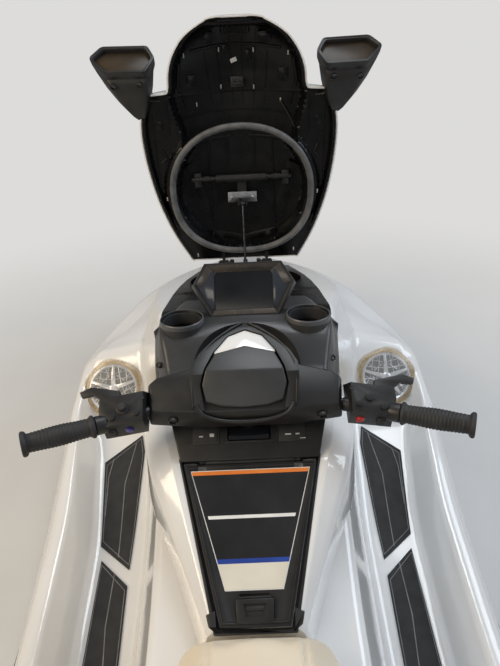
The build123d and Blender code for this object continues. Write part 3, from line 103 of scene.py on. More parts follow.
def grain(material, scale, strength, distance, pores=False, stretch=(1, 1, 1)):
    """Bump from a fine texture on Object coordinates."""
    tree = material.node_tree
    turn = shader_node(tree, "Mapping", Scale=stretch)
    if pores:
        texture = shader_node(tree, "TexVoronoi", Scale=scale)
    else:
        texture = shader_node(tree, "TexNoise", Scale=scale, Detail=4.0)
    bump = shader_node(tree, "Bump", Strength=strength, Distance=distance)
    link(shader_node(tree, "TexCoord"), "Object", turn, "Vector")
    link(turn, "Vector", texture, "Vector")
    link(texture, "Distance" if pores else "Fac", bump, "Height")
    link(bump, "Normal", tree.nodes["Principled BSDF"], "Normal")


gelcoat = finish("white_gelcoat", (0.77, 0.765, 0.75), (0.83, 0.83, 0.825), 2.5, (0.1, 0.22), coat=0.6)
hull_white = finish("hull_gelcoat", (0.73, 0.74, 0.75), (0.79, 0.79, 0.79), 2.0, (0.14, 0.28), coat=0.5)
satin_black = finish("satin_black_plastic", (0.01, 0.01, 0.01), (0.018, 0.0175, 0.0175), 20.0, (0.34, 0.48),
                     specular=0.45)
dash_grey = finish("dark_grey_plastic", (0.024, 0.024, 0.025), (0.036, 0.037, 0.039), 9.0, (0.3, 0.46),
                   specular=0.55)
pad_grey = finish("pad_grey_plastic", (0.026, 0.027, 0.028), (0.038, 0.04, 0.043), 12.0, (0.38, 0.52),
                  specular=0.6)
liner_black = finish("liner_black_plastic", (0.0025, 0.0025, 0.003), (0.006, 0.006, 0.0065), 16.0,
                     (0.2, 0.36),
                     specular=0.24)
rubber_black = finish("black_rubber", (0.015, 0.015, 0.016), (0.028, 0.028, 0.029), 30.0, (0.55, 0.7))
seal_rubber = finish("seal_rubber", (0.085, 0.086, 0.088), (0.15, 0.15, 0.15), 24.0, (0.4, 0.58))
vinyl = finish("cream_vinyl", (0.69, 0.59, 0.44), (0.76, 0.67, 0.53), 6.0, (0.36, 0.5))
steel = finish("brushed_steel", (0.48, 0.49, 0.5), (0.64, 0.64, 0.65), 40.0, (0.22, 0.38), metal=1.0)
chrome = finish("polished_chrome", (0.74, 0.75, 0.77), (0.86, 0.86, 0.87), 30.0, (0.05, 0.14), metal=1.0)
# Mirror glass: a dark brown, barely shiny colour that is a painted reflection of the dark surroundings the
# mirrors show.
mirror = finish("mirror_glass", (0.02, 0.016, 0.013), (0.05, 0.036, 0.02), 6.0, (0.24, 0.36), specular=0.18)
screen = finish("display_glass", (0.004, 0.005, 0.006), (0.012, 0.014, 0.018), 8.0, (0.06, 0.12),
                specular=0.35)
cast_metal = finish("cast_aluminium", (0.42, 0.43, 0.44), (0.58, 0.58, 0.59), 30.0, (0.34, 0.52), metal=1.0)
mat_foam = finish("mat_foam", (0.016, 0.016, 0.017), (0.03, 0.03, 0.031), 25.0, (0.66, 0.82))
mat_line_grey = finish("mat_line_grey", (0.16, 0.16, 0.16), (0.24, 0.24, 0.24), 40.0, 0.7)
engine_grey = finish("engine_grey", (0.22, 0.22, 0.23), (0.34, 0.34, 0.35), 12.0, (0.42, 0.6), metal=0.6)
# Cup rims: lighter grey than the dash, partly the rims' own tone and partly a painted highlight along their
# edges.
rim_grey_with_highlight = finish("cup_rim_grey", (0.065, 0.067, 0.073), (0.1, 0.103, 0.11), 20.0, (0.26, 0.4), specular=0.6)
# The visor's bronze tone is a painted reflection of a warm light in its facets, not a bronze finish.
visor_painted_reflection = finish("visor_painted_reflection", (0.045, 0.04, 0.036), (0.085, 0.072, 0.06), 14.0, (0.2, 0.34), coat=0.3)
wing_blue = finish("display_wing_gloss", (0.015, 0.02, 0.03), (0.03, 0.038, 0.052), 9.0, (0.1, 0.22),
                   coat=0.5)
# Cup liners: near-pure black, darker than the other black plastics, partly their own colour and partly
# painted shade deep inside the cups.
cup_black_with_shade = finish("cup_black_with_shade", (0.003, 0.003, 0.003), (0.007, 0.007, 0.008), 18.0, (0.42, 0.58),
                   specular=0.2)
cone_black = finish("speaker_cone", (0.008, 0.008, 0.009), (0.02, 0.02, 0.022), 30.0, (0.5, 0.7))
clip_grey = finish("clip_grey", (0.38, 0.38, 0.36), (0.52, 0.52, 0.5), 30.0, 0.4)
label_white = finish("label_white", (0.74, 0.74, 0.72), (0.82, 0.82, 0.8), 20.0, 0.3, coat=0.3)
label_black = finish("label_black", (0.006, 0.006, 0.007), (0.014, 0.013, 0.013), 12.0, (0.16, 0.3), coat=0.4)
label_orange = finish("label_orange", (0.76, 0.18, 0.015), (0.86, 0.26, 0.04), 14.0, 0.3, coat=0.3)
label_blue = finish("label_blue", (0.012, 0.04, 0.26), (0.02, 0.065, 0.36), 14.0, 0.3, coat=0.3)
label_cream = finish("label_cream", (0.68, 0.64, 0.54), (0.77, 0.73, 0.63), 10.0, 0.32, coat=0.3)
mark_grey = finish("mark_grey", (0.5, 0.5, 0.49), (0.62, 0.62, 0.6), 30.0, 0.4)
red_plastic = finish("red_plastic", (0.44, 0.01, 0.01), (0.58, 0.02, 0.018), 40.0, 0.3, coat=0.3)
blue_plastic = finish("blue_plastic", (0.025, 0.016, 0.17), (0.045, 0.03, 0.26), 40.0, 0.3, coat=0.3)
dark_rod = finish("dark_rod", (0.04, 0.04, 0.045), (0.07, 0.07, 0.075), 30.0, (0.16, 0.3), metal=0.9)
satin_silver = finish("satin_silver", (0.64, 0.64, 0.65), (0.76, 0.76, 0.77), 30.0, (0.22, 0.36), metal=0.7)
film_clear = finish("clear_film", (0.86, 0.86, 0.83), (0.95, 0.95, 0.93), 24.0, (0.06, 0.2), specular=0.9,
                    alpha=0.13)
film_tan = finish("tan_film", (0.42, 0.3, 0.14), (0.6, 0.46, 0.25), 24.0, (0.12, 0.3), specular=0.7,
                  alpha=0.5)
for material, scale, strength, distance in (
    (gelcoat, 14.0, 0.02, 0.002), (satin_black, 900.0, 0.12, 0.0002), (dash_grey, 1100.0, 0.18, 0.0002),
    (pad_grey, 900.0, 0.2, 0.0002), (liner_black, 260.0, 0.15, 0.0003), (rubber_black, 700.0, 0.25, 0.0002),
    (seal_rubber, 500.0, 0.2, 0.0003), (cast_metal, 400.0, 0.3, 0.0003), (mat_foam, 1600.0, 0.5, 0.0004),
    (engine_grey, 200.0, 0.3, 0.0005), (visor_painted_reflection, 900.0, 0.1, 0.0002), (cone_black, 600.0, 0.3, 0.0003),
):
    grain(material, scale, strength, distance)
grain(vinyl, 650.0, 0.35, 0.0004, pores=True)
grain(steel, 300.0, 0.1, 0.0002, stretch=(1, 1, 12))

node_finish = {}
for material, names in (
    (hull_white, "hull"),
    (gelcoat, "deck hood_shell arch_insert front_fairing"),
    (liner_black, "storage_tub hood_liner glovebox_bin"),
    (satin_black, "rub_rail hood_hinge_arm hood_hinge_base hood_frame strut_barrel mirror_housings "
                  "display_bezel steering_column steering_cover steering_arch switch_boxes "
                  "glovebox_lid glovebox_latch lower_console grab_handle reverse_bucket sponsons"),
    (seal_rubber, "hood_seal"),
    (dark_rod, "strut_rod"),
    (steel, "strut_clevis handlebar boarding_step metal_fittings impeller"),
    (mirror, "mirror_glasses"),
    (dash_grey, "dash_console"),
    (screen, "display_screen"),
    (pad_grey, "handle_pad"),
    (rubber_black, "grips"),
    (vinyl, "front_seat rear_seat"),
    (mat_foam, "deck_mats"),
    (chrome, "speakers"),
    (cast_metal, "jet_pump steering_nozzle ride_plate"),
    (engine_grey, "engine_block"),
):
    for name in names.split():
        node_finish[name] = material
for name, node in cad.items():
    node.data.materials.clear()
    node.data.materials.append(node_finish[name])


# Modelling helpers
def deselect():
    bpy.ops.object.select_all(action="DESELECT")


def only(piece):
    deselect()
    piece.select_set(True)
    bpy.context.view_layer.objects.active = piece


def edit(piece):
    """Opens a piece for editing with all of it selected."""
    only(piece)
    bpy.ops.object.mode_set(mode="EDIT")
    bpy.ops.mesh.select_all(action="SELECT")


def leave():
    bpy.ops.object.mode_set(mode="OBJECT")


def modify(piece, kind, **settings):
    """Adds a modifier and applies it."""
    only(piece)
    modifier = piece.modifiers.new(kind.lower(), kind)
    for key, value in settings.items():
        setattr(modifier, key, value)
    bpy.ops.object.modifier_apply(modifier=modifier.name)


def soften(piece, width, segments=2, angle=30):
    modify(piece, "BEVEL", width=width * MM, segments=segments, limit_method="ANGLE",
           angle_limit=math.radians(angle), harden_normals=False)


def face_out(piece):
    edit(piece)
    bpy.ops.mesh.remove_doubles(threshold=0.00002)
    bpy.ops.mesh.normals_make_consistent(inside=False)
    leave()


def complete(piece, name, body, material, stands_for=(), angle=32):
    """Gives a piece, or a list joined into one, its name, surface, body and the nodes that it stands for."""
    if isinstance(piece, list):
        piece = joined(piece)
    only(piece)
    piece.name = name
    bpy.ops.object.transform_apply(location=True, rotation=True, scale=True)
    bpy.ops.object.shade_smooth_by_angle(angle=math.radians(angle))
    piece.data.materials.clear()
    piece.data.materials.append(material)
    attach(piece, body)
    if stands_for:
        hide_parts(*stands_for)
    return piece


def place_of(origin, facing, across=(1, 0, 0)):
    """Matrix of a local frame: X across, Z facing, origin in millimetres."""
    z = Vector(facing).normalized()
    x = (Vector(across) - Vector(across).dot(z) * z).normalized()
    y = z.cross(x)
    return Matrix.Translation(Vector(origin) * MM) @ Matrix((x, y, z)).transposed().to_4x4()


def lifted(place, height):
    """A local frame moved along its own Z, in millimetres."""
    return place @ Matrix.Translation((0, 0, height * MM))


def seen_from(place, points):
    """Points of a local frame, in millimetres, as points of the craft."""
    return [tuple(c * 1000 for c in place @ (Vector(point) * MM)) for point in points]


def pulled_grid(rows, closed=False):
    """A grid whose rows of vertices are pulled onto rows of points, in millimetres."""
    deselect()
    wide = len(rows[0]) + (1 if closed else 0)
    bpy.ops.mesh.primitive_grid_add(x_subdivisions=wide - 1, y_subdivisions=len(rows) - 1, size=1)
    piece = bpy.context.object
    vertices = piece.data.vertices
    for j, points in enumerate(rows):
        for i in range(wide):
            vertices[j * wide + i].co = Vector(points[i % len(points)]) * MM
    if closed:
        edit(piece)
        bpy.ops.mesh.remove_doubles(threshold=0.00001)
        leave()
    return piece


def cap_ends(piece):
    edit(piece)
    bpy.ops.mesh.remove_doubles(threshold=0.00001)
    bpy.ops.mesh.select_all(action="DESELECT")
    bpy.ops.mesh.select_mode(type="EDGE")
    bpy.ops.mesh.select_non_manifold(extend=False)
    bpy.ops.mesh.fill_holes(sides=0)
    bpy.ops.mesh.select_all(action="SELECT")
    bpy.ops.mesh.normals_make_consistent(inside=False)
    leave()


def settled(piece, place):
    """Puts a finished form in its frame."""
    piece.matrix_world = place
    only(piece)
    bpy.ops.object.transform_apply(location=True, rotation=True, scale=True)
    return piece


def turned(profile, place, sides=40, closed=True):
    """A turned form: a ring extruded along its axis and resized at each step of height and radius."""
    deselect()
    start, radius = profile[0]
    bpy.ops.mesh.primitive_circle_add(vertices=sides, radius=radius * MM, location=(0, 0, start * MM))
    piece = bpy.context.object
    bpy.ops.object.transform_apply(location=True)
    edit(piece)
    for (h0, r0), (h1, r1) in zip(profile, profile[1:]):
        bpy.ops.mesh.extrude_region_move(TRANSFORM_OT_translate={"value": (0, 0, (h1 - h0) * MM)})
        bpy.ops.transform.resize(value=(r1 / r0, r1 / r0, 1), center_override=(0, 0, h1 * MM))
    leave()
    if closed:
        cap_ends(piece)
    else:
        face_out(piece)
    return settled(piece, place)


def cut_plate(outline, thickness, place, bevel=0.0, segments=2):
    """A flat form: a filled ring pulled onto an outline and extruded, thickness along the frame's Z."""
    deselect()
    bpy.ops.mesh.primitive_circle_add(vertices=len(outline), radius=1, fill_type="NGON")
    piece = bpy.context.object
    for vertex, (x, y) in zip(piece.data.vertices, outline):
        vertex.co = (x * MM, y * MM, 0)
    edit(piece)
    bpy.ops.mesh.extrude_region_move(TRANSFORM_OT_translate={"value": (0, 0, thickness * MM)})
    leave()
    face_out(piece)
    if bevel:
        soften(piece, bevel, segments)
    return settled(piece, place)


def block(size, place, bevel=2.0, segments=2):
    """A box of a size in millimetres, centred on a frame, its edges rounded."""
    deselect()
    bpy.ops.mesh.primitive_cube_add(size=1)
    piece = bpy.context.object
    piece.scale = [s * MM for s in size]
    bpy.ops.object.transform_apply(scale=True)
    soften(piece, bevel, segments)
    return settled(piece, place)


def rod_along(points, radius, closed=False, sides=6, smooth_line=True):
    """A round bar that follows points in millimetres."""
    curve = bpy.data.curves.new("line", "CURVE")
    curve.dimensions = "3D"
    spline = curve.splines.new("NURBS" if smooth_line else "POLY")
    spline.points.add(len(points) - 1)
    for point, (x, y, z) in zip(spline.points, points):
        point.co = (x * MM, y * MM, z * MM, 1)
    if smooth_line:
        spline.order_u = 3
        spline.use_endpoint_u = not closed
    spline.use_cyclic_u = closed
    spline.resolution_u = 6
    curve.bevel_depth = radius * MM
    curve.bevel_resolution = sides // 2
    curve.use_fill_caps = True
    piece = bpy.data.objects.new("line", curve)
    bpy.context.scene.collection.objects.link(piece)
    only(piece)
    bpy.ops.object.convert(target="MESH")
    return bpy.context.object


def joined(pieces):
    deselect()
    for piece in pieces:
        piece.select_set(True)
    bpy.context.view_layer.objects.active = pieces[0]
    bpy.ops.object.join()
    return bpy.context.object


def port_copy(piece):
    """The same form on the other side of the centre plane."""
    only(piece)
    bpy.ops.object.duplicate()
    twin = bpy.context.object
    twin.scale = (-1, 1, 1)
    bpy.ops.object.transform_apply(scale=True)
    edit(twin)
    bpy.ops.mesh.normals_make_consistent(inside=False)
    leave()
    return twin


def both(piece):
    return joined([piece, port_copy(piece)])


def rounded_node(name, width, segments=2):
    """A copy of a solid from the frame, merged, with its edges rounded."""
    deselect()
    source = cad[name]
    piece = bpy.data.objects.new(name + "_rounded", source.data.copy())
    bpy.context.scene.collection.objects.link(piece)
    edit(piece)
    bpy.ops.mesh.remove_doubles(threshold=0.00002)
    bpy.ops.mesh.dissolve_limited(angle_limit=math.radians(1.5))
    leave()
    soften(piece, width, segments, 28)
    return piece


def cut_from(piece, cutter):
    modify(piece, "BOOLEAN", operation="DIFFERENCE", object=cutter, solver="EXACT")
    bpy.data.objects.remove(cutter)


# Sizes shared with the solids, in millimetres
HINGE = (0, 1500, 520)
SEAL_UP = 303
CUP = (150, 556, 826)
MIRROR = (394, 1500, 1302)
LID_RUN, LID_RISE = 260, 110
COLUMN_BORE, RECESS_RADIUS, CUP_BORE = 36, 121.5, 50
hood_lean = math.radians(18)
cup_lean = math.radians(8)
steer_lean = math.radians(28)
steer_place = place_of((0, 300, 790), (0, -math.sin(steer_lean), math.cos(steer_lean)))
lid_slope = math.atan2(LID_RISE, LID_RUN)
lid_place = place_of((0, 235, 692), (0, -math.sin(lid_slope), math.cos(lid_slope)))
display_lean = math.radians(29)
display_place = place_of((0, 572, 822), (0, -math.cos(display_lean), math.sin(display_lean)))
speaker_lean = math.radians(46.5)
FLANGE_SLOPE = 0.31
flange_lean = math.atan(FLANGE_SLOPE)


def bond_z(y):
    """Height of the joint between hull and deck."""
    return 130 + 0.05 * y


def halves(points):
    """A closed ring of points from its starboard half."""
    return points + [(-x, y, z) for x, y, z in reversed(points) if x > 0]


# Lofted forms
def along(table, y, reach):
    """The columns of a table at a station, averaged over a reach so that its corners are rounded."""
    reach = min(reach, y - table[0][0], table[-1][0] - y)
    total = [0.0] * (len(table[0]) - 1)
    for step in range(7):
        at = min(max(y + reach * (step / 3 - 1), table[0][0]), table[-1][0])
        low = max(i for i in range(len(table) - 1) if table[i][0] <= at)
        share = (at - table[low][0]) / (table[low + 1][0] - table[low][0])
        for k in range(1, len(table[0])):
            total[k - 1] += (table[low][k] * (1 - share) + table[low + 1][k] * share) / 7
    return total


def filleted(line, radii, steps):
    """A line of points with its inner corners rounded; both ends stay."""
    reach = [0.0]
    for i in range(1, len(line) - 1):
        before = Vector(line[i]) - Vector(line[i - 1])
        after = Vector(line[i + 1]) - Vector(line[i])
        reach.append(max(radii[i - 1] * math.tan(before.angle(after, 0.0) / 2), 0.4))
    reach.append(0.0)
    for i in range(len(line) - 1):
        run = (Vector(line[i + 1]) - Vector(line[i])).length
        need = reach[i] + reach[i + 1]
        if need > 0.96 * run:
            reach[i] *= 0.96 * run / need
            reach[i + 1] *= 0.96 * run / need
    points = [tuple(line[0])]
    for i in range(1, len(line) - 1):
        corner = Vector(line[i])
        start = corner + (Vector(line[i - 1]) - corner).normalized() * reach[i]
        end = corner + (Vector(line[i + 1]) - corner).normalized() * reach[i]
        for step in range(steps + 1):
            s = step / steps
            points.append(tuple(start * (1 - s) ** 2 + corner * (2 * s * (1 - s)) + end * s ** 2))
    points.append(tuple(line[-1]))
    return points


def section(y, line, radii, steps=6):
    """A closed ring at a station from the half line of a cross-section."""
    half = [(x, y, z) for x, z in filleted(line, radii, steps)]
    return halves(half)


def drawn_in(ring, distance, shift):
    """A ring made smaller all round by a distance and moved along Y."""
    wide = max(abs(p[0]) for p in ring)
    low, high = min(p[2] for p in ring), max(p[2] for p in ring)
    middle, tall = (low + high) / 2, (high - low) / 2
    return [(x * (1 - distance / wide), y + shift, z - distance * (z - middle) / tall) for x, y, z in ring]


def spaced(*runs):
    """Stations from runs of start, end and number of steps."""
    found = []
    for start, end, steps in runs:
        found += [start + (end - start) * i / steps for i in range(steps)]
    return found + [runs[-1][1]]


# Hull and deck
hull_table = [
    (-1775, -255, 478, -60, 530), (-600, -268, 500, -75, 572), (200, -270, 505, -70, 585),
    (750, -250, 465, -25, 615), (1100, -190, 360, 45, 548), (1400, -75, 215, 112, 385),
    (1600, 55, 100, 160, 225), (1715, 140, 45, 188, 105), (1760, 185, 12, 203, 28),
]


def hull_ring(y):
    keel_z, chine_x, chine_z, rail_x = along(hull_table, y, 70 if y < 1500 else 30)
    strake_x, strake_z = chine_x * 0.5, keel_z + (chine_z - keel_z) * 0.5
    line = [(0, keel_z), (strake_x, strake_z), (strake_x * 1.04 + 3, strake_z + 1), (chine_x, chine_z),
            (chine_x * 1.012 + 1, chine_z + 10), (rail_x, bond_z(y)), (0, bond_z(y))]
    return section(y, line, (3, 3, 7, 10, 2), 3)


hull_rows = [hull_ring(y) for y in spaced((-1768, 1040, 48), (1040, 1752, 22))]
hull_rows = [drawn_in(hull_rows[0], 7, -7), drawn_in(hull_rows[0], 3, -5)] + hull_rows
hull_rows.append(drawn_in(hull_ring(1752), 6, 7))
hull = pulled_grid(hull_rows, closed=True)
cap_ends(hull)
tunnel = block((276, 452, 360), Matrix.Translation(Vector((0, -1556, -152)) * MM), 20, 3)
cut_from(hull, tunnel)
duct = cut_plate([(-1331, -32), (-1210, -44), (-770, -300), (-1331, -300)], 160,
                 lifted(Matrix(((0, 0, 1, 0), (1, 0, 0, 0), (0, 1, 0, 0), (0, 0, 0, 1))), -80))
cut_from(hull, duct)
complete(hull, "hull_moulding", "craft", hull_white, ("hull",), 30)

deck_table = [
    (-1775, 530, 528, 112, 505, 150, 480, 158, 452, 141, 300, 140, 180, 141, 142),
    (-1320, 556, 550, 150, 520, 200, 490, 205, 452, 140, 300, 140, 190, 142, 144),
    (-1230, 560, 553, 155, 522, 206, 492, 211, 452, 140, 300, 140, 175, 420, 432),
    (-300, 576, 568, 170, 530, 236, 494, 242, 450, 140, 300, 140, 188, 470, 482),
    (60, 580, 572, 178, 534, 252, 496, 258, 448, 140, 300, 140, 198, 500, 512),
    (420, 604, 594, 212, 550, 292, 512, 298, 466, 175, 312, 172, 214, 596, 608),
    (680, 618, 612, 262, 574, 340, 546, 344, 502, 246, 332, 240, 240, 668, 672),
    (760, 617, 612, 300, 585, 357, 562, 358, 528, 268, 340, 262, 252, 720, 724),
    (950, 592, 604, 355, 582, 408, 566, 420, 536, 448, 368, 482, 300, 662, 666),
    (1150, 525, 558, 375, 532, 415, 512, 422, 440, 436, 358, 474, 322, 600, 604),
    (1400, 385, 462, 392, 436, 424, 416, 428, 370, 438, 300, 458, 268, 523, 527),
    (1560, 258, 352, 402, 326, 428, 306, 430, 262, 438, 214, 448, 180, 472, 476),
    (1690, 130, 196, 409, 176, 427, 160, 429, 132, 434, 104, 440, 78, 448, 450),
    (1760, 28, 56, 410, 50, 420, 44, 424, 36, 427, 26, 429, 14, 430, 431),
]


def deck_columns(y):
    reach = 14 if y < -1180 and y > -1370 else 24 if 600 < y < 1000 else 60
    return along(deck_table, y, reach)


def deck_ring(y):
    r = deck_columns(y)
    line = [(0, bond_z(y)), (r[0], bond_z(y))] + list(zip(r[1:13:2], r[2:13:2])) + [(0, r[13])]
    return section(y, line, (2, 16, 34, 22, 34, 34, 30), 6)


def floor_z(x, y):
    """Height of the footwell floor."""
    r = deck_columns(y)
    share = (abs(x) - r[9]) / (r[7] - r[9])
    return r[10] + (r[8] - r[10]) * share


deck_stations = spaced((-1768, -1360, 8), (-1360, -1180, 20), (-1180, 360, 26), (360, 1000, 34),
                       (1000, 1752, 26))
deck_rows = [deck_ring(y) for y in deck_stations]
deck_rows = [drawn_in(deck_rows[0], 7, -7), drawn_in(deck_rows[0], 3, -5)] + deck_rows
deck_rows += [drawn_in(deck_rows[-1], 4, 5), drawn_in(deck_rows[-1], 10, 8)]
deck = pulled_grid(deck_rows, closed=True)
cap_ends(deck)
mouth_y = HINGE[1] - SEAL_UP * math.cos(hood_lean)
mouth_place = place_of((0, mouth_y, 496 + (HINGE[1] - mouth_y) * FLANGE_SLOPE),
                       (0, math.sin(flange_lean), math.cos(flange_lean)))


def oval(half_x, half_y, middle_y=0.0, sides=96):
    turns = [2 * math.pi * i / sides for i in range(sides)]
    return [(half_x * math.cos(a), middle_y + half_y * math.sin(a)) for a in turns]


cut_from(deck, cut_plate(oval(264, 238), 310, lifted(mouth_place, -352)))
cut_from(deck, cut_plate(oval(211, 224), 120, lifted(mouth_place, -60)))
complete(deck, "deck_moulding", "craft", gelcoat, ("deck",), 30)

# Rub rail: a rounded strip along the joint
rail_rows = []
edge = []
for y in spaced((-1775, 1000, 30), (1000, 1760, 26)):
    edge.append((along(hull_table, y, 60 if y < 1500 else 30)[3], y))
outline = [(edge[0][0] * (1 - 0.1 * k), -1775 - (0.6 if k else 0)) for k in range(10, 0, -1)] + edge
outline = [(x, y) for x, y in outline if x > 8]
outline = outline + [(-x, y) for x, y in reversed(outline)]
for j, (x, y) in enumerate(outline):
    ax, ay = outline[j - 1]
    bx, by = outline[(j + 1) % len(outline)]
    run = Vector((bx - ax, by - ay)).normalized()
    out = Vector((run.y, -run.x))
    if out.dot(Vector((x, (y - 300) * 0.2))) < 0:
        out = -out
    z = bond_z(y)
    profile = [(-3, 14), (5, 14), (9, 11.5), (11, 7), (11, 3), (8.5, 1), (8.5, -2.5), (11, -4.5), (11, -8),
               (9, -11.5), (5, -14), (-3, -14)]
    rail_rows.append([(x + out.x * a, y + out.y * a, z + b) for a, b in profile])
rail_rows.append(rail_rows[0])
rail = pulled_grid(rail_rows, closed=True)
face_out(rail)
complete(rail, "rub_rail_strip", "craft", satin_black, ("rub_rail",), 40)


# Fairing from the seat to the dash, with the opening of the glove box
def lid_z(y):
    return 582 + (y + 25) * LID_RISE / LID_RUN


def lid_outline(margin):
    length = math.hypot(LID_RUN, LID_RISE)
    return [(132 + margin, margin), (-132 - margin, margin), (-60 - margin, -length - margin),
            (60 + margin, -length - margin)]


fairing_table = [
    (-30, 98, 500, 82, lid_z(-30) - 16, 72, lid_z(-30)),
    (100, 152, 488, 140, lid_z(100) - 20, 114, lid_z(100)),
    (235, 214, 500, 202, lid_z(235) - 22, 156, lid_z(235)),
    (330, 244, 540, 230, lid_z(235) - 20, 182, lid_z(235) + 4),
    (424.5, 238, 590, 228, lid_z(235) - 14, 196, lid_z(235) + 6),
]
fairing_rows = []
for y in spaced((-29.5, 215, 18), (215, 255, 8), (255, 424.5, 12)):
    foot_x, foot_z, edge_x, edge_z, top_x, top_z = along(fairing_table, y, 14 if 200 < y < 270 else 40)
    side = [(0, 440), (foot_x, 440), (foot_x, foot_z), (edge_x, edge_z), (top_x, top_z), (0, top_z)]
    fairing_rows.append(section(y, side, (2, 10, 30, 12), 6))
fairing = pulled_grid(fairing_rows, closed=True)
cap_ends(fairing)
cut_from(fairing, cut_plate(lid_outline(6), 40, lifted(lid_place, -15)))
cut_from(fairing, cut_plate(lid_outline(-14), 110, lifted(lid_place, -95)))
cut_from(fairing, turned([(-230, COLUMN_BORE), (70, COLUMN_BORE)], steer_place, 48))
modify(fairing, "BEVEL", width=1.2 * MM, segments=2, limit_method="ANGLE", angle_limit=math.radians(50))
complete(fairing, "front_cowling", "craft", gelcoat, ("front_fairing",), 32)


# Foam mats in the footwells
LAY_STEP = 0.02


def laid_on(piece, height, lift):
    """Cuts a flat form across its length and lets it follow a surface."""
    edit(piece)
    ends = [v.co.y for v in piece.data.vertices]
    station = math.ceil(min(ends) / LAY_STEP) * LAY_STEP
    while station < max(ends):
        bpy.ops.mesh.select_all(action="SELECT")
        bpy.ops.mesh.bisect(plane_co=(0, station, 0), plane_no=(0, 1, 0))
        station += LAY_STEP
    leave()
    for vertex in piece.data.vertices:
        vertex.co.z += (height(vertex.co.x * 1000, vertex.co.y * 1000) + lift) * MM


mat_outlines = [
    [(366, 741), (352, 684), (351, 327), (443, 396), (475, 648)],
    [(433, 355), (349, 284), (336, 40), (424, 40)], [(424, 20), (336, 20), (330, -560), (420, -560)],
    [(420, -580), (330, -580), (330, -1180), (420, -1180)],
]
mat_lines = [
    [(382, 712), (401, 577), (387, 362)], [(448, 658), (455, 599), (446, 480)],
    [(389, 316), (387, 185), (370, 60)], [(362, 4), (357, -540)], [(396, 4), (392, -540)],
    [(357, -600), (357, -1160)], [(392, -600), (392, -1160)],
]


def ribbon_outline(path, width):
    """Outline of a narrow strip along a line in the plane."""
    left, right = [], []
    for i, point in enumerate(path):
        before = Vector(path[max(i - 1, 0)])
        after = Vector(path[min(i + 1, len(path) - 1)])
        run = (after - before).normalized()
        side = Vector((-run.y, run.x)) * (width / 2)
        left.append(tuple(Vector(point) + side))
        right.append(tuple(Vector(point) - side))
    return left + right[::-1]


mats = []
for outline in mat_outlines:
    mat = cut_plate(outline, 5, Matrix.Identity(4), 1.6, 3)
    laid_on(mat, floor_z, 0)
    mats.append(mat)
mats = both(joined(mats))
rear_mat = cut_plate([(-410, -1730), (410, -1730), (410, -1350), (-410, -1350)], 5,
                     Matrix.Translation((0, 0, 0.1415)))
mats = joined([mats, rear_mat])
complete(mats, "foam_mats", "craft", mat_foam, ("deck_mats",), 30)
grooves = []
for line in mat_lines:
    groove = cut_plate(ribbon_outline(line, 2.4), 0.5, Matrix.Identity(4))
    laid_on(groove, floor_z, 4.9)
    grooves.append(groove)
for outline in mat_outlines:
    middle = Vector((sum(p[0] for p in outline) / len(outline), sum(p[1] for p in outline) / len(outline)))
    inner = [tuple(Vector(p) + (middle - Vector(p)).normalized() * 13) for p in outline]
    for a, b in zip(inner, inner[1:] + inner[:1]):
        groove = cut_plate(ribbon_outline([a, b], 1.6), 0.4, Matrix.Identity(4))
        laid_on(groove, floor_z, 4.9)
        grooves.append(groove)
grooves = both(joined(grooves))
rear_lines = []
for step in range(11):
    x = -350 + 70 * step
    rear_lines.append(cut_plate(ribbon_outline([(x, -1715), (x, -1365)], 2.4), 0.5,
                                Matrix.Translation((0, 0, 0.1464))))
grooves = joined([grooves] + rear_lines)
complete(grooves, "mat_grooves", "craft", mat_line_grey, (), 30)


# Storage mouth
def deck_top(x, y):
    r = deck_columns(y)
    return r[13] + (r[12] - r[13]) * min(abs(x) / r[11], 1)


surround_half = [(242, 742), (243, 1000), (238, 1130), (226, 1258), (204, 1382), (184, 1498)]
surround = cut_plate(surround_half + [(-x, y) for x, y in reversed(surround_half)], 1.4, Matrix.Identity(4))
cut_from(surround, cut_plate(oval(210, 211, mouth_y), 1400, Matrix.Translation((0, 0, -0.2))))
laid_on(surround, deck_top, 0)
sleeve_rows = []
for wall, height in ((0, 0), (0, -44), (3.8, -44), (3.8, 1.2), (0, 1.2), (0, 0)):
    ring = oval(210.8 - wall, 223.8 - wall)
    sleeve_rows.append(seen_from(mouth_place, [(x, y, height) for x, y in ring]))
sleeve = pulled_grid(sleeve_rows, closed=True)
face_out(sleeve)
surround = joined([surround, sleeve])
complete(surround, "mouth_surround", "craft", liner_black, (), 30)

tub = rounded_node("storage_tub", 1.5)
cut_from(tub, block((900, 900, 80), lifted(mouth_place, 36), 0.5, 1))
complete(tub, "storage_well", "craft", liner_black, ("storage_tub",), 34)


# Hood, open at rest
def on_hood(x, depth, u):
    """A point of the open hood from its distance behind the hinge and its height above it."""
    return (x, HINGE[1] + depth, HINGE[2] + u)


CHORD_SHARE, RISE_SHARE = 0.93, 0.45
SHELL_THICKNESS, POCKET_WALL = 0.0056, 15
hood_table = [
    (16, 226, 58), (140, 292, 88), (286, 339, 112), (430, 362, 132), (560, 366, 146), (664, 337, 156),
]
tongue_table = [(640, 248, 150), (740, 240, 158), (800, 212, 152), (856, 160, 144), (896, 62, 136)]


def crown(w, c):
    """Half chord and radius of the arc over a half width and a crown."""
    chord, rise = CHORD_SHARE * w, RISE_SHARE * c
    return chord, (chord * chord + rise * rise) / (2 * rise)


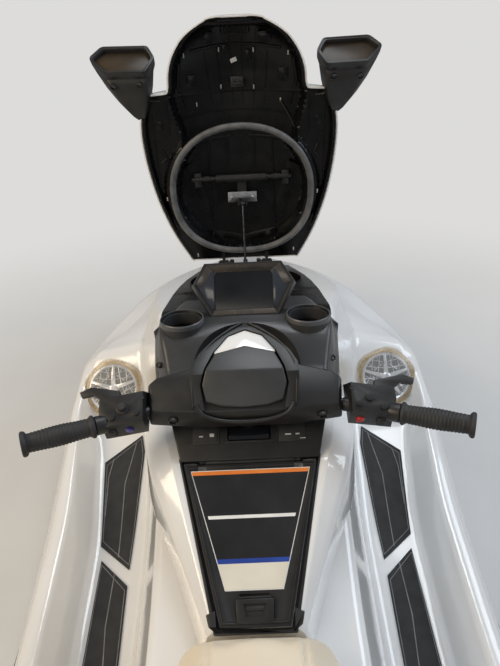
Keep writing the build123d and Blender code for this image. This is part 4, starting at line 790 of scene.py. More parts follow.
def hood_arc(u, w, c, steps=9):
    """Points across the open hood at a height above its hinge: side walls and an arc over the crown."""
    chord, radius = crown(w, c)
    foot = c - RISE_SHARE * c
    sweep = math.asin(min(chord / radius, 1.0))
    half = [(w, 0), (w * 0.975, foot * 0.4), (w * 0.95, foot * 0.8)]
    for i in range(steps + 1):
        turn = sweep * (1 - 0.04) * (1 - i / steps)
        half.append((radius * math.sin(turn), c - radius + radius * math.cos(turn)))
    ring = [on_hood(x, v, u) for x, v in half]
    return ring + [(-x, y, z) for x, y, z in reversed(ring[:-1])]


def hood_size(u):
    """Half width and crown of the open hood at a height above its hinge."""
    if u < 652:
        return along(hood_table, u, 50)
    return along(tongue_table, u, 26)


shell_rows = [hood_arc(19, 214, 3), hood_arc(16.4, 221, 36), hood_arc(16, 225, 54)]
shell_rows += [hood_arc(u, *hood_size(u)) for u in spaced((24, 600, 18), (600, 636, 3))]
shell_rows += [hood_arc(u, w, c) for u, w, c in (
    (646, 349, 154), (655, 338, 154.6), (660, 326, 155), (663, 306, 155), (664, 280, 154.6), (665, 262, 154),
    (668, 252, 153.4), (676, 247.5, 153.4))]
shell_rows += [hood_arc(u, *hood_size(u)) for u in spaced((690, 850, 12), (850, 880, 5))]
shell_rows += [hood_arc(884.5, 96, 137), hood_arc(888, 80, 132), hood_arc(890, 62, 112),
               hood_arc(890, 48, 40), hood_arc(889, 40, 2)]
shell = pulled_grid(shell_rows)
modify(shell, "SOLIDIFY", thickness=-SHELL_THICKNESS, offset=-1)
face_out(shell)
soften(shell, 1.4, 2, 60)
complete(shell, "hood_outer_skin", "hood", gelcoat, ("hood_shell",), 35)


def pocket_depth(x, u):
    """Depth of the arc inside the shell behind the hinge plane."""
    w, c = hood_size(min(u, 880))
    if u < 652:
        w, c = along(hood_table, max(u, 16), 20)
    w, c = w - POCKET_WALL, c - POCKET_WALL
    radius = crown(w, c)[1]
    return c - radius + math.sqrt(max(radius * radius - x * x, 1))


def step_up(value, start, end):
    share = min(max((value - start) / (end - start), 0.0), 1.0)
    return share * share * (3 - 2 * share)


def hood_half(u):
    """Half width of the open hood's rim at a height above its hinge, with the step at its shoulder."""
    w = hood_size(u)[0]
    if u < 636:
        return w
    for (low, wide), (high, narrow) in zip(shoulder, shoulder[1:]):
        if u <= high:
            return wide + (narrow - wide) * (u - low) / (high - low)
    return w


shoulder = [(636, hood_size(636)[0]), (646, 349), (655, 338), (660, 326), (664, 280), (668, 252),
            (690, hood_size(690)[0])]


def liner_depth(x, u):
    """Depth of the pressed liner: flat rim, shallow sides, a channel from the tongue, a dish in the seal."""
    half = hood_half(u)
    wall = 244 if u > 640 else 214 + 30 * step_up(u, 500, 640)
    channel = step_up(wall - abs(x), -5, 5) * step_up(u, 430, 470)
    ring = math.hypot(x / 258, (u - SEAL_UP) / 232)
    land = math.hypot(x / 296, (u - SEAL_UP) / 270)
    deep = max(channel, step_up(1 - ring, 0, 0.03))
    side = 3 + 24 * step_up(land, 1, 1.05) * step_up(u, 120, 240)
    depth = side + (max(pocket_depth(x, u), side) - side) * deep
    edge = step_up(half - 6 - abs(x), 7, 13) * step_up(876 - u, 7, 13)
    return 1.5 + (depth - 1.5) * edge


def on_liner(x, u, lift=0.0):
    """Frame on the liner's pocket, lifted towards the viewer."""
    return place_of(on_hood(x, liner_depth(x, u) - lift, u), (0, -1, 0))


def liner_strip(path, width, height):
    """A raised strip along a line on the pockets of the liner."""
    points = []
    for (ax, au), (bx, bu) in zip(path, path[1:]):
        count = max(int(math.hypot(bx - ax, bu - au) / 14), 1)
        points += [(ax + (bx - ax) * i / count, au + (bu - au) * i / count) for i in range(count)]
    points.append(path[-1])
    rows = []
    for i, (x, u) in enumerate(points):
        before, after = points[max(i - 1, 0)], points[min(i + 1, len(points) - 1)]
        run = Vector((after[0] - before[0], after[1] - before[1])).normalized()
        side = Vector((-run.y, run.x)) * (width / 2)
        corners = [(-1, -1.5), (-1, height - 1), (-0.7, height), (0.7, height), (1, height - 1), (1, -1.5)]
        row = []
        for share, lift in corners:
            px, pu = x + side.x * share, u + side.y * share
            row.append(on_hood(px, liner_depth(px, pu) - lift, pu))
        rows.append(row)
    strip = pulled_grid(rows, closed=True)
    cap_ends(strip)
    return strip


liner_rows = []
for u in spaced((20, 636, 104), (638, 670, 16), (672, 877, 40)):
    half = hood_half(u) - 6
    across = [half * (i / 50 - 1) for i in range(101)]
    liner_rows.append([on_hood(x, liner_depth(x, u), u) for x in across])
liner = pulled_grid(liner_rows)
modify(liner, "SOLIDIFY", thickness=0.003, offset=1)
face_out(liner)
complete(liner, "hood_inner_liner", "hood", liner_black, ("hood_liner",), 34)


liner_parts = []
for path, width, height in (
    ([(120, 848), (100, 606)], 4, 6), ([(72, 848), (60, 606)], 4, 6), ([(22, 848), (18, 606)], 4, 6),
    ([(214, 400), (150, 190)], 46, 7), ([(196, 470), (120, 486), (40, 492)], 14, 8),
    ([(136, 118), (6, 90)], 26, 9), ([(56, 500), (52, 380)], 7, 12), ([(126, 480), (132, 150)], 6, 12),
    ([(196, 600), (216, 690), (200, 780)], 9, 9), ([(262, 640), (262, 520)], 5, 6),
    ([(322, 600), (324, 330)], 5, 7), ([(300, 470), (284, 440), (306, 420)], 9, 8),
):
    for side in (-1, 1):
        liner_parts.append(liner_strip([(side * x, u) for x, u in path], width, height))
for side in (-1, 1):
    liner_parts.append(block((24, 30, 8), on_liner(side * 296, 560, 3), 3))
liner_parts.append(liner_strip([(-40, 538), (0, 508), (40, 538)], 4, 4))
liner_parts.append(liner_strip([(-62, 520), (0, 476), (62, 520)], 4, 4))
liner_parts.append(liner_strip([(-214, 566), (-120, 582), (0, 588), (120, 582), (214, 566)], 5, 7))
liner_parts.append(liner_strip([(-160, 790), (-80, 802), (0, 806), (80, 802), (160, 790)], 8, 9))
for x in range(-48, 49, 12):
    liner_parts.append(block((3.4, 40, 9), on_liner(x, 859, 3), 0.8))
for u in (838, 880):
    liner_parts.append(block((112, 4, 11), on_liner(0, u, 3), 1))
for x, u, wide, tall in ((-100, 829, 42, 36), (108, 826, 56, 36), (-170, 695, 36, 40), (173, 706, 38, 44),
                         (-42, 790, 20, 30), (44, 770, 22, 34)):
    liner_parts.append(block((wide, tall, 18), on_liner(x, u, 4), 3))
    liner_parts.append(block((wide - 14, tall - 14, 6), on_liner(x, u, 14), 1.5))
complete(liner_parts, "liner_ribs", "hood", liner_black, (), 30)

clips = []
for x, u in ((-186, 779), (-62, 790), (64, 785), (187, 775), (-62, 669), (62, 664), (-158, 613), (162, 617),
             (-201, 39), (208, 50), (-300, 288), (300, 295)):
    clip_place = on_liner(x, u, 12) if u > 600 else place_of(on_hood(x, 0, u), (0, -1, 0))
    clips.append(block((5, 15, 5), clip_place, 1.2))
complete(clips, "liner_clips", "hood", clip_grey, (), 35)
tag = block((24, 14, 1), on_liner(-10, 754, 7) @ Matrix.Rotation(math.radians(20), 4, "Z"), 0.3)
complete(tag, "blank_tag", "hood", label_white, (), 35)
strap = rod_along([on_hood(160, liner_depth(160, 617) - 12, 617), on_hood(206, 88, 550),
                   on_hood(236, 60, 470)], 2.6)
complete(strap, "hood_strap", "hood", satin_black, (), 40)

# Seal ring with a rounded lip
seal_rows = []
for step in range(96):
    turn = 2 * math.pi * step / 96
    power = 0.86 if math.sin(turn) < 0 else 0.94
    across = math.copysign(abs(math.cos(turn)) ** power, math.cos(turn))
    upright = math.copysign(abs(math.sin(turn)) ** power, math.sin(turn))
    ring_profile = [(288, 262, 0), (288, 262, 8), (285, 259, 13), (281, 255, 15), (276, 250, 15.6),
                    (271, 245, 14), (268, 242, 10), (266, 240, 5), (264, 238, 3), (264, 238, 0)]
    ring = [((a - 2) * across, -d, SEAL_UP + (b - 2) * upright) for a, b, d in ring_profile]
    seal_rows.append([on_hood(*point) for point in ring])
seal_rows.append(seal_rows[0])
seal = pulled_grid(seal_rows, closed=True)
face_out(seal)
complete(seal, "seal_ring", "hood", seal_rubber, ("hood_seal",), 50)

# Cross tube with its end brackets, strut bracket plate and bolts
tube = rod_along([(-188, 1552, 865), (188, 1552, 865)], 10, smooth_line=False, sides=12)
sleeve_place = place_of((8, 1552, 865), (1, 0, 0), (0, 1, 0))
tube_ends = [tube, turned([(-112, 10), (-110, 15.5), (92, 15.5), (94, 10)], sleeve_place, 32)]
for side in (-1, 1):
    tube_ends.append(rod_along([(side * 128, 1552, 865), (side * 152, 1552, 865)], 13, smooth_line=False,
                               sides=12))
    tube_ends.append(block((30, 56, 30), place_of((side * 176, 1566, 860), (0, -1, 0)), 4))
complete(tube_ends, "cross_tube", "hood", satin_black, (), 40)
plate = block((118, 42, 2), place_of((0, 1557, 785), (0, -1, 0)), 0.6)
bolts = [plate]
for x in (-44, 44):
    bolt_place = place_of((x, 1556, 785), (0, -1, 0))
    bolts.append(turned([(0, 9), (2, 9), (2, 6.5), (7, 6.5), (8, 5)], bolt_place, 6))
complete(bolts, "strut_bracket_plate", "hood", steel, (), 40)

# Hinge bridge and springs between the hood and the deck
bridge = [block((196, 15, 15), place_of((0, 1496, 498), (0, -1, 0)), 3)]
for x in (-58, 0, 58):
    for turn_count in range(6):
        coil = [(x + px, 1508 + py, 506 + turn_count * 3.4) for px, py in oval(9, 9, sides=8)]
        bridge.append(rod_along(coil, 1.5, closed=True, sides=4))
complete(bridge, "hinge_bridge", "craft", satin_black, (), 40)

# Solids that keep their form, with rounded edges; the pieces of the head are made a little narrower
NARROWER, PORT_SHIFT = 0.958, 0.005
for name, width, label in (
    ("hood_frame", 1.2, "hood_cross_frame"), ("dash_console", 9, "dash_moulding"),
    ("display_bezel", 1.6, "display_surround"), ("handle_pad", 4, "handlebar_pad"),
    ("steering_arch", 3.5, "steering_cowl"), ("arch_insert", 3, "cowl_insert"),
    ("switch_boxes", 3.5, "switch_housings"), ("glovebox_lid", 2, "glovebox_cover"),
    ("sponsons", 8, "side_sponsons"), ("hood_hinge_base", 1.5, "hinge_block"),
    ("reverse_bucket", 2, "reverse_gate"), ("ride_plate", 2, "ride_plate_cast"),
    ("engine_block", 12, "engine_stand_in"),
):
    piece = rounded_node(name, width, 3 if width > 3 else 2)
    if name in ("handle_pad", "steering_arch", "arch_insert"):
        for vertex in piece.data.vertices:
            ahead = (steer_place.inverted() @ vertex.co).y * 1000
            vertex.co.x = vertex.co.x * NARROWER - PORT_SHIFT * (1 - step_up(ahead, -40, 176))
    complete(piece, label, cad[name]["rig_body"], node_finish[name], (name,), 34)


# Steering head, in its own tilted frame
def at_steer(x, y, z, facing=(0, 0, 1)):
    """Frame in the steering head, placed and turned by its own axes."""
    return steer_place @ place_of((x, y, z), facing)


def stacked_rings(rings, place):
    """A closed form through outlines at heights, starboard half given from the rear forwards."""
    rows = []
    for z, half in rings:
        ring = half + [(-x - 8 * step_up(x, 110, 180), y) for x, y in reversed(half) if x > 0]
        rows.append(seen_from(place, [(x, y, z) for x, y in ring]))
    piece = pulled_grid(rows, closed=True)
    cap_ends(piece)
    return piece


shroud = stacked_rings([
    (-28, [(60, -37), (98, -37), (184, -28), (187, 38), (174, 54), (100, 76), (40, 76)]),
    (-19, [(60, -43), (100, -42), (187, -32), (191, 38), (177, 58), (101, 80), (40, 80)]),
    (6, [(60, -33), (97, -32), (184, -25), (191, 40), (175, 57), (99, 78), (40, 78)]),
    (18, [(60, -22), (92, -21), (177, -17), (186, 39), (171, 52), (96, 73), (40, 73)]),
], steer_place)
soften(shroud, 3, 2, 20)
complete(shroud, "steering_shroud", "steering_head", satin_black, ("steering_cover",), 34)
head_trim = []
lip_line = [(90, -12, 27), (87, -22, 22), (73, -32, 14), (40, -40, 7), (-4, -42, 5), (-48, -40, 7),
            (-81, -32, 14), (-95, -22, 22), (-98, -12, 27)]
head_trim.append(rod_along(seen_from(steer_place, lip_line), 4.2, sides=10))
for side in (-1, 1):
    place = at_steer(side * 146, -34.5, 1, (0, -1, 0.2))
    head_trim.append(turned([(-4, 9.5), (1.5, 9.5), (2.5, 8), (1.5, 6), (-3, 5.5)], place, 28))
    head_trim.append(turned([(-4, 5.2), (-1, 5.2), (-0.4, 3)], place, 6))
complete(head_trim, "shroud_trim", "steering_head", satin_black, (), 40)

# Crease lines on the two arms of the cowl
cowl_edges = []
for side in (-1, 1):
    outer = [(side * 99.5 - 5, -16, 23), (side * 103.5 - 4, 30, 42), (side * 98.5 - 2.6, 70, 41),
             (side * 80.5 - 1.5, 105, 32), (side * 50, 144, 20), (side * 6, 176, 8)]
    cowl_edges.append(rod_along(seen_from(steer_place, outer), 2.2, sides=8))
complete(cowl_edges, "cowl_edges", "steering_head", satin_black, (), 40)

# Grips: turned rubber sleeves with ridges and flared ends
bar_start, bar_end = Vector((180, -6, -10)), Vector((404, -84, 62))
bar_way = (bar_end - bar_start).normalized()
grip_length = (bar_end - bar_start).length - 122
profile = [(0, 13), (0, 20), (2, 22), (6, 22), (8, 19.5), (12, 17.2)]
ridge = 14.0
while ridge < grip_length - 16:
    swell = 17.2 + 2.0 * math.sin(math.pi * (ridge - 12) / (grip_length - 26)) ** 2
    profile += [(ridge, swell), (ridge + 1.0, swell + 0.9), (ridge + 3.4, swell + 0.9), (ridge + 4.4, swell)]
    ridge += 6.2
profile += [(grip_length - 8, 17.6), (grip_length - 6, 21.5), (grip_length - 3, 23.5),
            (grip_length + 1, 23.5), (grip_length + 3, 21), (grip_length + 3, 8)]
grip_place = steer_place @ place_of(bar_start + bar_way * 122, bar_way, (0, 1, 0))
bar_place = steer_place @ place_of(bar_start, bar_way, (0, 1, 0))
grips = both(turned(profile, grip_place, 32))
complete(grips, "ridged_grips", "steering_head", rubber_black, ("grips",), 50)
sleeve = both(turned([(10, 11.2), (10, 13), (13, 14), (30, 14), (33, 13), (33, 11.2)], bar_place, 32))
inner_sleeve = [(98, 11.2), (98, 16), (102, 18), (120, 18.5), (122, 16), (122, 11.2)]
complete([sleeve, both(turned(inner_sleeve, bar_place, 32))], "bar_sleeves", "steering_head", satin_black, (),
         40)

# Buttons, rockers and lamps on the switch boxes
rear_face = (0.12, -1, 0.2)


def button(x, y, z, radius, facing):
    return turned([(-3, radius * 0.96), (1.6, radius * 0.96), (2.8, radius * 0.8), (3.1, radius * 0.5)],
                  at_steer(x, y, z, facing), 24)


red_button = button(216, -47, 8, 8.5, rear_face)
complete(red_button, "red_button", "steering_head", red_plastic, (), 40)
blue_button = button(-228, -48.5, 8, 8.5, (-0.12, -1, 0.2))
complete(blue_button, "blue_button", "steering_head", blue_plastic, (), 40)
controls = []
for side, x in ((1, 256), (-1, -262)):
    face = (side * 0.12, -1, 0.2)
    controls.append(block((19, 24, 7), at_steer(x, -52, 6, face), 3, 3))
    controls.append(block((13, 8, 9), at_steer(x, -52.5, 12, face), 2.5))
    controls.append(block((13, 8, 9), at_steer(x, -52.5, 1, face), 2.5))
controls.append(turned([(30, 13), (36, 12), (37, 10), (37, 8.6), (44, 8), (46, 6.5), (46, 4)],
                       at_steer(-238, -14, 0), 28))
for x, y in ((203, 8), (-203, 6), (276, -2), (-276, -2)):
    controls.append(turned([(31, 4.5), (34.6, 4.5), (34.6, 3.2), (33.4, 2.8)], at_steer(x, y, 0), 16))
complete(controls, "bar_controls", "steering_head", rubber_black, (), 36)


# Dash and cup holders
def cup_place(side):
    """Frame at the mouth of a cup holder, which leans to the bow."""
    return place_of((side * CUP[0], CUP[1], CUP[2]), (0, math.sin(cup_lean), math.cos(cup_lean)))


dash_table = [
    (425, 208, 600, 200, 716, 176, 764, 769), (470, 214, 620, 207, 728, 186, 790, 794),
    (510, 222, 640, 214, 746, 199, 818, 821), (560, 230, 650, 221, 742, 206, 822, 825),
    (600, 236, 660, 229, 724, 208, 816, 821), (634, 240, 664, 232, 712, 204, 800, 806),
]
dash_rows = []
for y in spaced((430, 630, 26)):
    foot_x, foot_z, side_x, side_z, top_x, top_z, middle_z = along(dash_table, y, 24)
    line = [(0, 590), (foot_x, 590), (foot_x, foot_z), (side_x, side_z), (top_x, top_z), (0, middle_z)]
    dash_rows.append(section(y, line, (2, 20, 60, 14), 6))
dash_rows = [drawn_in(dash_rows[0], 4, -5), drawn_in(dash_rows[0], 1, -4)] + dash_rows
dash_rows += [drawn_in(dash_rows[-1], 2, 5), drawn_in(dash_rows[-1], 7, 8)]
dash_cover = pulled_grid(dash_rows, closed=True)
cap_ends(dash_cover)
cut_from(dash_cover, turned([(-160, RECESS_RADIUS), (160, RECESS_RADIUS)],
                            steer_place @ Matrix.Translation((0, 0.105, 0)), 72))
cut_from(dash_cover, cut_plate(oval(284, 258), 800, lifted(mouth_place, -400)))
for side in (-1, 1):
    cut_from(dash_cover, turned([(-260, CUP_BORE), (60, CUP_BORE)], cup_place(side), 64))
soften(dash_cover, 2.5, 3, 40)
complete(dash_cover, "dash_cover", "craft", dash_grey, (), 34)
cup_trim = []
cup_rims = []
for side in (-1, 1):
    cup_trim.append(turned([(5.2, 49), (2, 46.6), (-4, 44.6), (-60, 43.2), (-68, 40), (-70, 30), (-70, 4)],
                           cup_place(side), 64, closed=False))
    cup_rims.append(turned([(-5, 52.8), (3, 52.6), (6, 51.8), (7, 50.6), (6.6, 49.4), (3, 49), (-5, 48.8)],
                           cup_place(side), 64, closed=False))
# The rims' lighter grey is partly a painted highlight.
complete(cup_rims, "cup_rims", "craft", rim_grey_with_highlight, (), 40)
# The liners' near-pure black is partly painted shade inside the cups.
complete(cup_trim, "cup_liners", "craft", cup_black_with_shade, (), 40)
dash_plugs = []
for x in (-203, 199):
    plug_place = place_of((x, 472, 760), (math.copysign(0.5, x), -0.5, 0.7))
    dash_plugs.append(turned([(-4, 7), (2, 7), (2.8, 5.4), (0.4, 4.6), (0.2, 2)], plug_place, 20))
complete(dash_plugs, "dash_plugs", "craft", satin_black, (), 40)


def sloped(outer, inner, z_outer, z_inner, depth):
    """A sloping facet between an outer and an inner pair of corners on the display."""
    (ax, ay), (bx, by) = outer
    (cx, cy), (dx, dy) = inner
    rows = [[(ax, ay, z_outer), (ax, ay, z_outer - depth), (cx, cy, z_inner - depth), (cx, cy, z_inner)],
            [(bx, by, z_outer), (bx, by, z_outer - depth), (dx, dy, z_inner - depth), (dx, dy, z_inner)]]
    piece = pulled_grid([seen_from(display_place, row) for row in rows], closed=True)
    cap_ends(piece)
    return piece


# Display visor with glossy wings
visor = joined([
    sloped([(-88, 123.5), (88, 123.5)], [(-66, 105), (66, 105)], 0.2, -6.4, 3.4),
    sloped([(88, 123.5), (115.5, 78)], [(66, 105), (84, 70)], 0.2, -5.6, 3.4),
    sloped([(-115.5, 78), (-88, 123.5)], [(-84, 70), (-66, 105)], 0.2, -5.6, 3.4),
    sloped([(79, 4), (-79, 4)], [(72, 15), (-72, 15)], 0.2, -3.4, 2.5),
])
soften(visor, 0.7, 2, 30)
# The visor facets show a painted warm reflection through their bronze-toned colour.
complete(visor, "display_visor", "craft", visor_painted_reflection, (), 30)
wings = []
for side in (-1, 1):
    corners = [(71, 17), (78, 17), (112, 76), (84, 108), (71, 108)]
    wings.append(cut_plate([(side * x, y) for x, y in corners], 1, lifted(display_place, -4.2), 0.3))
complete(wings, "display_wings", "craft", wing_blue, (), 30)

# Switch panel: a wide sloping plate with key pads and a small lamp window
panel_place = place_of((0, 283, 720), (0, -42, 78))


def on_panel(x, y, z=0.0):
    return panel_place @ Matrix.Translation((x * MM, y * MM, z * MM))


panel_outline = [(138, -53), (160, 30), (160, 58), (-160, 58), (-160, 30), (-138, -53)]
panel = cut_plate(panel_outline, 26, on_panel(0, 0, -24), 3, 3)
cut_from(panel, block((88, 33, 18), on_panel(0, 2, 0), 4))
cut_from(panel, turned([(-230, COLUMN_BORE), (90, COLUMN_BORE)], steer_place, 40))
complete(panel, "switch_panel", "craft", satin_black, ("lower_console",), 34)
panel_trim = []
for side in (-1, 1):
    panel_trim.append(block((54, 44, 3), on_panel(side * 87, 2, 2.4), 1.2))
    panel_trim.append(block((46, 37, 4), on_panel(side * 87, 3, 3.6), 2, 3))
    for row in range(9):
        y = -16 + row * 4.2
        ridge_place = on_panel(side * (124 + row * 0.6), y, 2.3)
        panel_trim.append(block((16 + row, 1.6, 1.2), ridge_place, 0.5))
panel_trim.append(block((96, 3, 2), on_panel(0, -17, 2.2), 0.9))
complete(panel_trim, "panel_keys", "craft", rubber_black, (), 34)
window = block((82, 27, 3), on_panel(0, 2, -3.5), 1.2)
complete(window, "panel_window", "craft", screen, (), 34)
marks = []
for side, x, y, wide, tall in ((-1, -97, -4, 8, 3), (-1, -75, -2, 9, 7), (1, 79, -6, 12, 3),
                               (1, 98, -6, 8, 3), (1, 108, -15, 12, 1.4)):
    marks.append(block((wide, tall, 0.5), on_panel(x, y, 5.7), 0.2, 1))
complete(marks, "key_marks", "craft", mark_grey, (), 34)


# Glove box lid
def on_lid(x, y, z=0.0):
    return lid_place @ Matrix.Translation((x * MM, y * MM, z * MM))


frame_ring = cut_plate(lid_outline(10), 15, on_lid(0, 0, -13.6), 1.2, 2)
cut_from(frame_ring, cut_plate(lid_outline(5.4), 60, on_lid(0, 0, -30)))
ears = [rod_along([(-96, 235, 692), (96, 235, 692)], 2, smooth_line=False)]
for x in (-96, 96):
    ears.append(block((6, 16, 9), Matrix.Translation((x * MM, 0.240, 0.690)), 1))
    ears.append(block((22, 4, 20), Matrix.Translation((x * MM, 0.2425, 0.684)), 0.6))
front_strip = block((276, 18, 9), place_of((0, 250, 695.5), (0, -0.2, 1)), 2.5, 3)
collar = cut_plate([(-84, -262), (-68, -256), (-66, -288), (66, -288), (68, -256), (84, -262), (79, -280),
                    (62, -292), (-62, -292), (-79, -280)], 3, on_lid(0, 0, -1.5), 1.0)
gasket = cut_plate(lid_outline(5.8), 2, on_lid(0, 0, -14.9))
cut_from(gasket, cut_plate(lid_outline(1.2), 60, on_lid(0, 0, -30)))
frame_ring = joined([frame_ring, front_strip, collar, gasket] + ears)
complete(frame_ring, "lid_surround", "craft", satin_black, (), 34)
lid_rim = [(126, -6, 0.2), (-126, -6, 0.2), (-56, -276, 0.2), (56, -276, 0.2)]
lid_rim = rod_along(seen_from(lid_place, lid_rim), 2.2, closed=True, smooth_line=False, sides=8)
complete(lid_rim, "lid_rim", "box_lid", satin_black, (), 40)


LABEL_HALF, LABEL_TAPER = 117.5, 66 / 210


def label_half(y):
    return LABEL_HALF + (y + 16) * LABEL_TAPER


def band(top, bottom, inset, z, thickness):
    """A flat strip across the tapered label."""
    a, b = label_half(top) - inset, label_half(bottom) - inset
    return cut_plate([(-a, top), (a, top), (b, bottom), (-b, bottom)], thickness, on_lid(0, 0, z), 0)


for top, bottom, inset, z, label, material in (
    (-15, -227, 0, -3.05, "label_edge", label_white),
    (-16.5, -225.5, 1.5, -2.7, "label_field", label_black),
    (-16.5, -24, 1.5, -2.5, "label_orange", label_orange), (-101, -107, 8, -2.5, "label_bar", label_white),
    (-176, -184, 1.5, -2.5, "label_blue", label_blue),
    (-184, -225.5, 1.5, -2.5, "label_cream", label_cream),
):
    complete(band(top, bottom, inset, z, 0.35), label, "box_lid", material, (), 30)
latch = [cut_plate([(-33, 18), (33, 18), (31, -18), (-31, -18)], 5, on_lid(0, -258, -1.5), 1.4)]
cut_from(latch[0], cut_plate([(-19, 10), (19, 10), (15, -9), (-15, -9)], 20, on_lid(0, -258, 0.5)))
finger_place = on_lid(0, -258, -1) @ Matrix.Rotation(math.radians(-14), 4, "X")
latch.append(cut_plate([(-18, 9), (18, 9), (14, -1), (-14, -1)], 3, finger_place, 0.8))
latch.append(block((58, 3, 4), on_lid(0, -238, 1.6), 1.2))
complete(latch, "lid_latch", "box_lid", satin_black, ("glovebox_latch",), 34)

# Mirrors
mirror_lean = math.radians(38)
mirror_facing = Vector((0, -math.sin(mirror_lean), math.cos(mirror_lean)))
mirror_place = place_of(MIRROR, mirror_facing)


def mirror_outline(wide, tall, steps=3):
    """A rounded six-sided outline, starboard mirror."""
    corners = [(-wide, tall * 0.05), (-wide * 0.74, -tall), (wide * 0.52, -tall * 0.94), (wide, tall * 0.2),
               (wide * 0.64, tall), (-wide * 0.78, tall * 0.92)]
    ring = []
    for i, corner in enumerate(corners):
        before, after = Vector(corners[i - 1]), Vector(corners[(i + 1) % 6])
        corner = Vector(corner)
        start = corner + (before - corner).normalized() * tall * 0.2
        end = corner + (after - corner).normalized() * tall * 0.2
        shares = [k / steps for k in range(steps + 1)]
        ring += [start * (1 - s) ** 2 + corner * 2 * s * (1 - s) + end * s ** 2 for s in shares]
    return ring


def mirror_row(centre, wide, tall):
    place = place_of(centre, mirror_facing)
    return seen_from(place, [(x, y, 0) for x, y in mirror_outline(wide, tall)])


def on_rim(wide, tall, height):
    return mirror_row(Vector(MIRROR) + mirror_facing * height, wide, tall)


rim = pulled_grid([on_rim(w, t, h) for w, t, h in (
    (114, 60.5, -24), (115, 61.5, -3), (113.5, 60, 1.5), (110.5, 57, 2.2), (108.5, 55, 0.5),
    (107, 53.5, -0.6), (104, 50.5, -0.2), (102.5, 49, -2), (100.5, 47.5, -22),
    (100.5, 47.5, -24))] + [on_rim(114, 60.5, -24)], closed=True)
face_out(rim)
rim = both(rim)
complete(rim, "mirror_rims", "hood", satin_black, (), 40)
housing = pulled_grid([on_rim(113, 59.5, -17), on_rim(113, 59.5, -30), mirror_row((391, 1508, 1262), 104, 53),
                       mirror_row((383, 1512, 1214), 86, 43), mirror_row((373, 1512, 1168), 62, 33),
                       mirror_row((363, 1512, 1130), 34, 22), mirror_row((359, 1513, 1114), 18, 14)],
                       closed=True)
cap_ends(housing)
arm = pulled_grid([mirror_row((366, 1514, 1190), 40, 24), mirror_row((330, 1524, 1176), 34, 20),
                   mirror_row((306, 1530, 1170), 30, 16)],
                  closed=True)
cap_ends(arm)
housing = both(joined([housing, arm]))
soften(housing, 2, 2, 40)
complete(housing, "mirror_shells", "hood", satin_black, ("mirror_housings",), 40)
# The mirror plates carry the painted reflection: dark brown colour in place of a reflective surface.
glass = cut_plate([tuple(p) for p in mirror_outline(101.5, 48.5)], 2, lifted(mirror_place, -17), 0.4)
glass = both(glass)
complete(glass, "mirror_plates", "hood", mirror, ("mirror_glasses",), 40)
mirror_holes = []
for x, y, z in ((430, 1467, 1222), (338, 1466, 1224)):
    mirror_holes.append(turned([(-3, 11.5), (2.4, 11.5), (2.8, 10), (0.6, 8.8), (-2.2, 8.4), (-2.2, 1)],
                               place_of((x, y, z), (0, -0.9, -0.44)), 28))
mirror_holes = both(joined(mirror_holes))
complete(mirror_holes, "mirror_screw_wells", "hood", label_black, (), 40)

# Speakers
speaker_place = place_of((464, 860, 370), (0, -math.sin(speaker_lean), math.cos(speaker_lean)))


cone = both(turned([(4, 82), (5, 70), (-2, 46), (-6, 30), (-4, 22), (-1, 14), (0, 4)], speaker_place, 48))
complete(cone, "speaker_cones", "craft", cone_black, (), 40)
basket = both(turned([(-19, 84), (12, 84), (16, 82), (17, 78), (15, 74), (8, 72), (-3, 72)], speaker_place,
                     64, closed=False))
hub = both(turned([(2, 17), (14, 17), (18, 14), (19.5, 9), (19.5, 4)], speaker_place, 40))
spokes = []
for arm in range(5):
    mid = 90 + 72 * arm
    arm_place = lifted(speaker_place, 13.6) @ Matrix.Rotation(math.radians(mid), 4, "Z")
    spokes.append(cut_plate([(12, -8), (76, -4), (76, 4), (12, 8)], 3, arm_place, 0.8))
    for inner, outer, near, far in ((8, 60, 30, 76), (64, 12, 30, 76), (10, 38, 52, 76), (62, 34, 52, 76),
                                    (22, 22, 40, 76), (50, 50, 40, 76), (12, 60, 46, 46)):
        a, b = math.radians(mid + inner), math.radians(mid + outer)
        ends = [(near * math.cos(a), near * math.sin(a), 14.5), (far * math.cos(b), far * math.sin(b), 13.5)]
        spokes.append(rod_along(seen_from(speaker_place, ends), 1.1, smooth_line=False, sides=4))
spokes = both(joined(spokes))
grille = joined([basket, hub, spokes])
complete(grille, "speaker_grilles", "craft", satin_silver, ("speakers",), 40)


def film_sheet(inner, outer, height, drop, wave, rings=10, sides=80):
    """A thin wrinkled sheet over the speaker, a ring of points at each radius."""
    rows = []
    for k in range(rings + 1):
        radius = inner + (outer - inner) * k / rings
        row = []
        for i in range(sides):
            a = 2 * math.pi * i / sides
            fold = math.sin(7 * a + radius * 0.11) + 0.7 * math.sin(17 * a - radius * 0.23)
            fold = wave * (fold + 0.5 * math.sin(31 * a + k * 1.7))
            reach = radius * (1 + 0.03 * math.sin(5 * a + 1.3) * k / rings)
            row.append((reach * math.cos(a), reach * math.sin(a),
                        height - drop * (k / rings) ** 2 + fold * k / rings))
        rows.append(seen_from(speaker_place, row))
    piece = pulled_grid(rows, closed=True)
    modify(piece, "SOLIDIFY", thickness=0.0005, offset=1)
    face_out(piece)
    return both(piece)


complete(film_sheet(3, 104, 23, 9, 1.2), "clear_film", "craft", film_clear, (), 60)
complete(film_sheet(83, 101, 20, 11, 1.1, rings=5), "film_band", "craft", film_tan, (), 60)

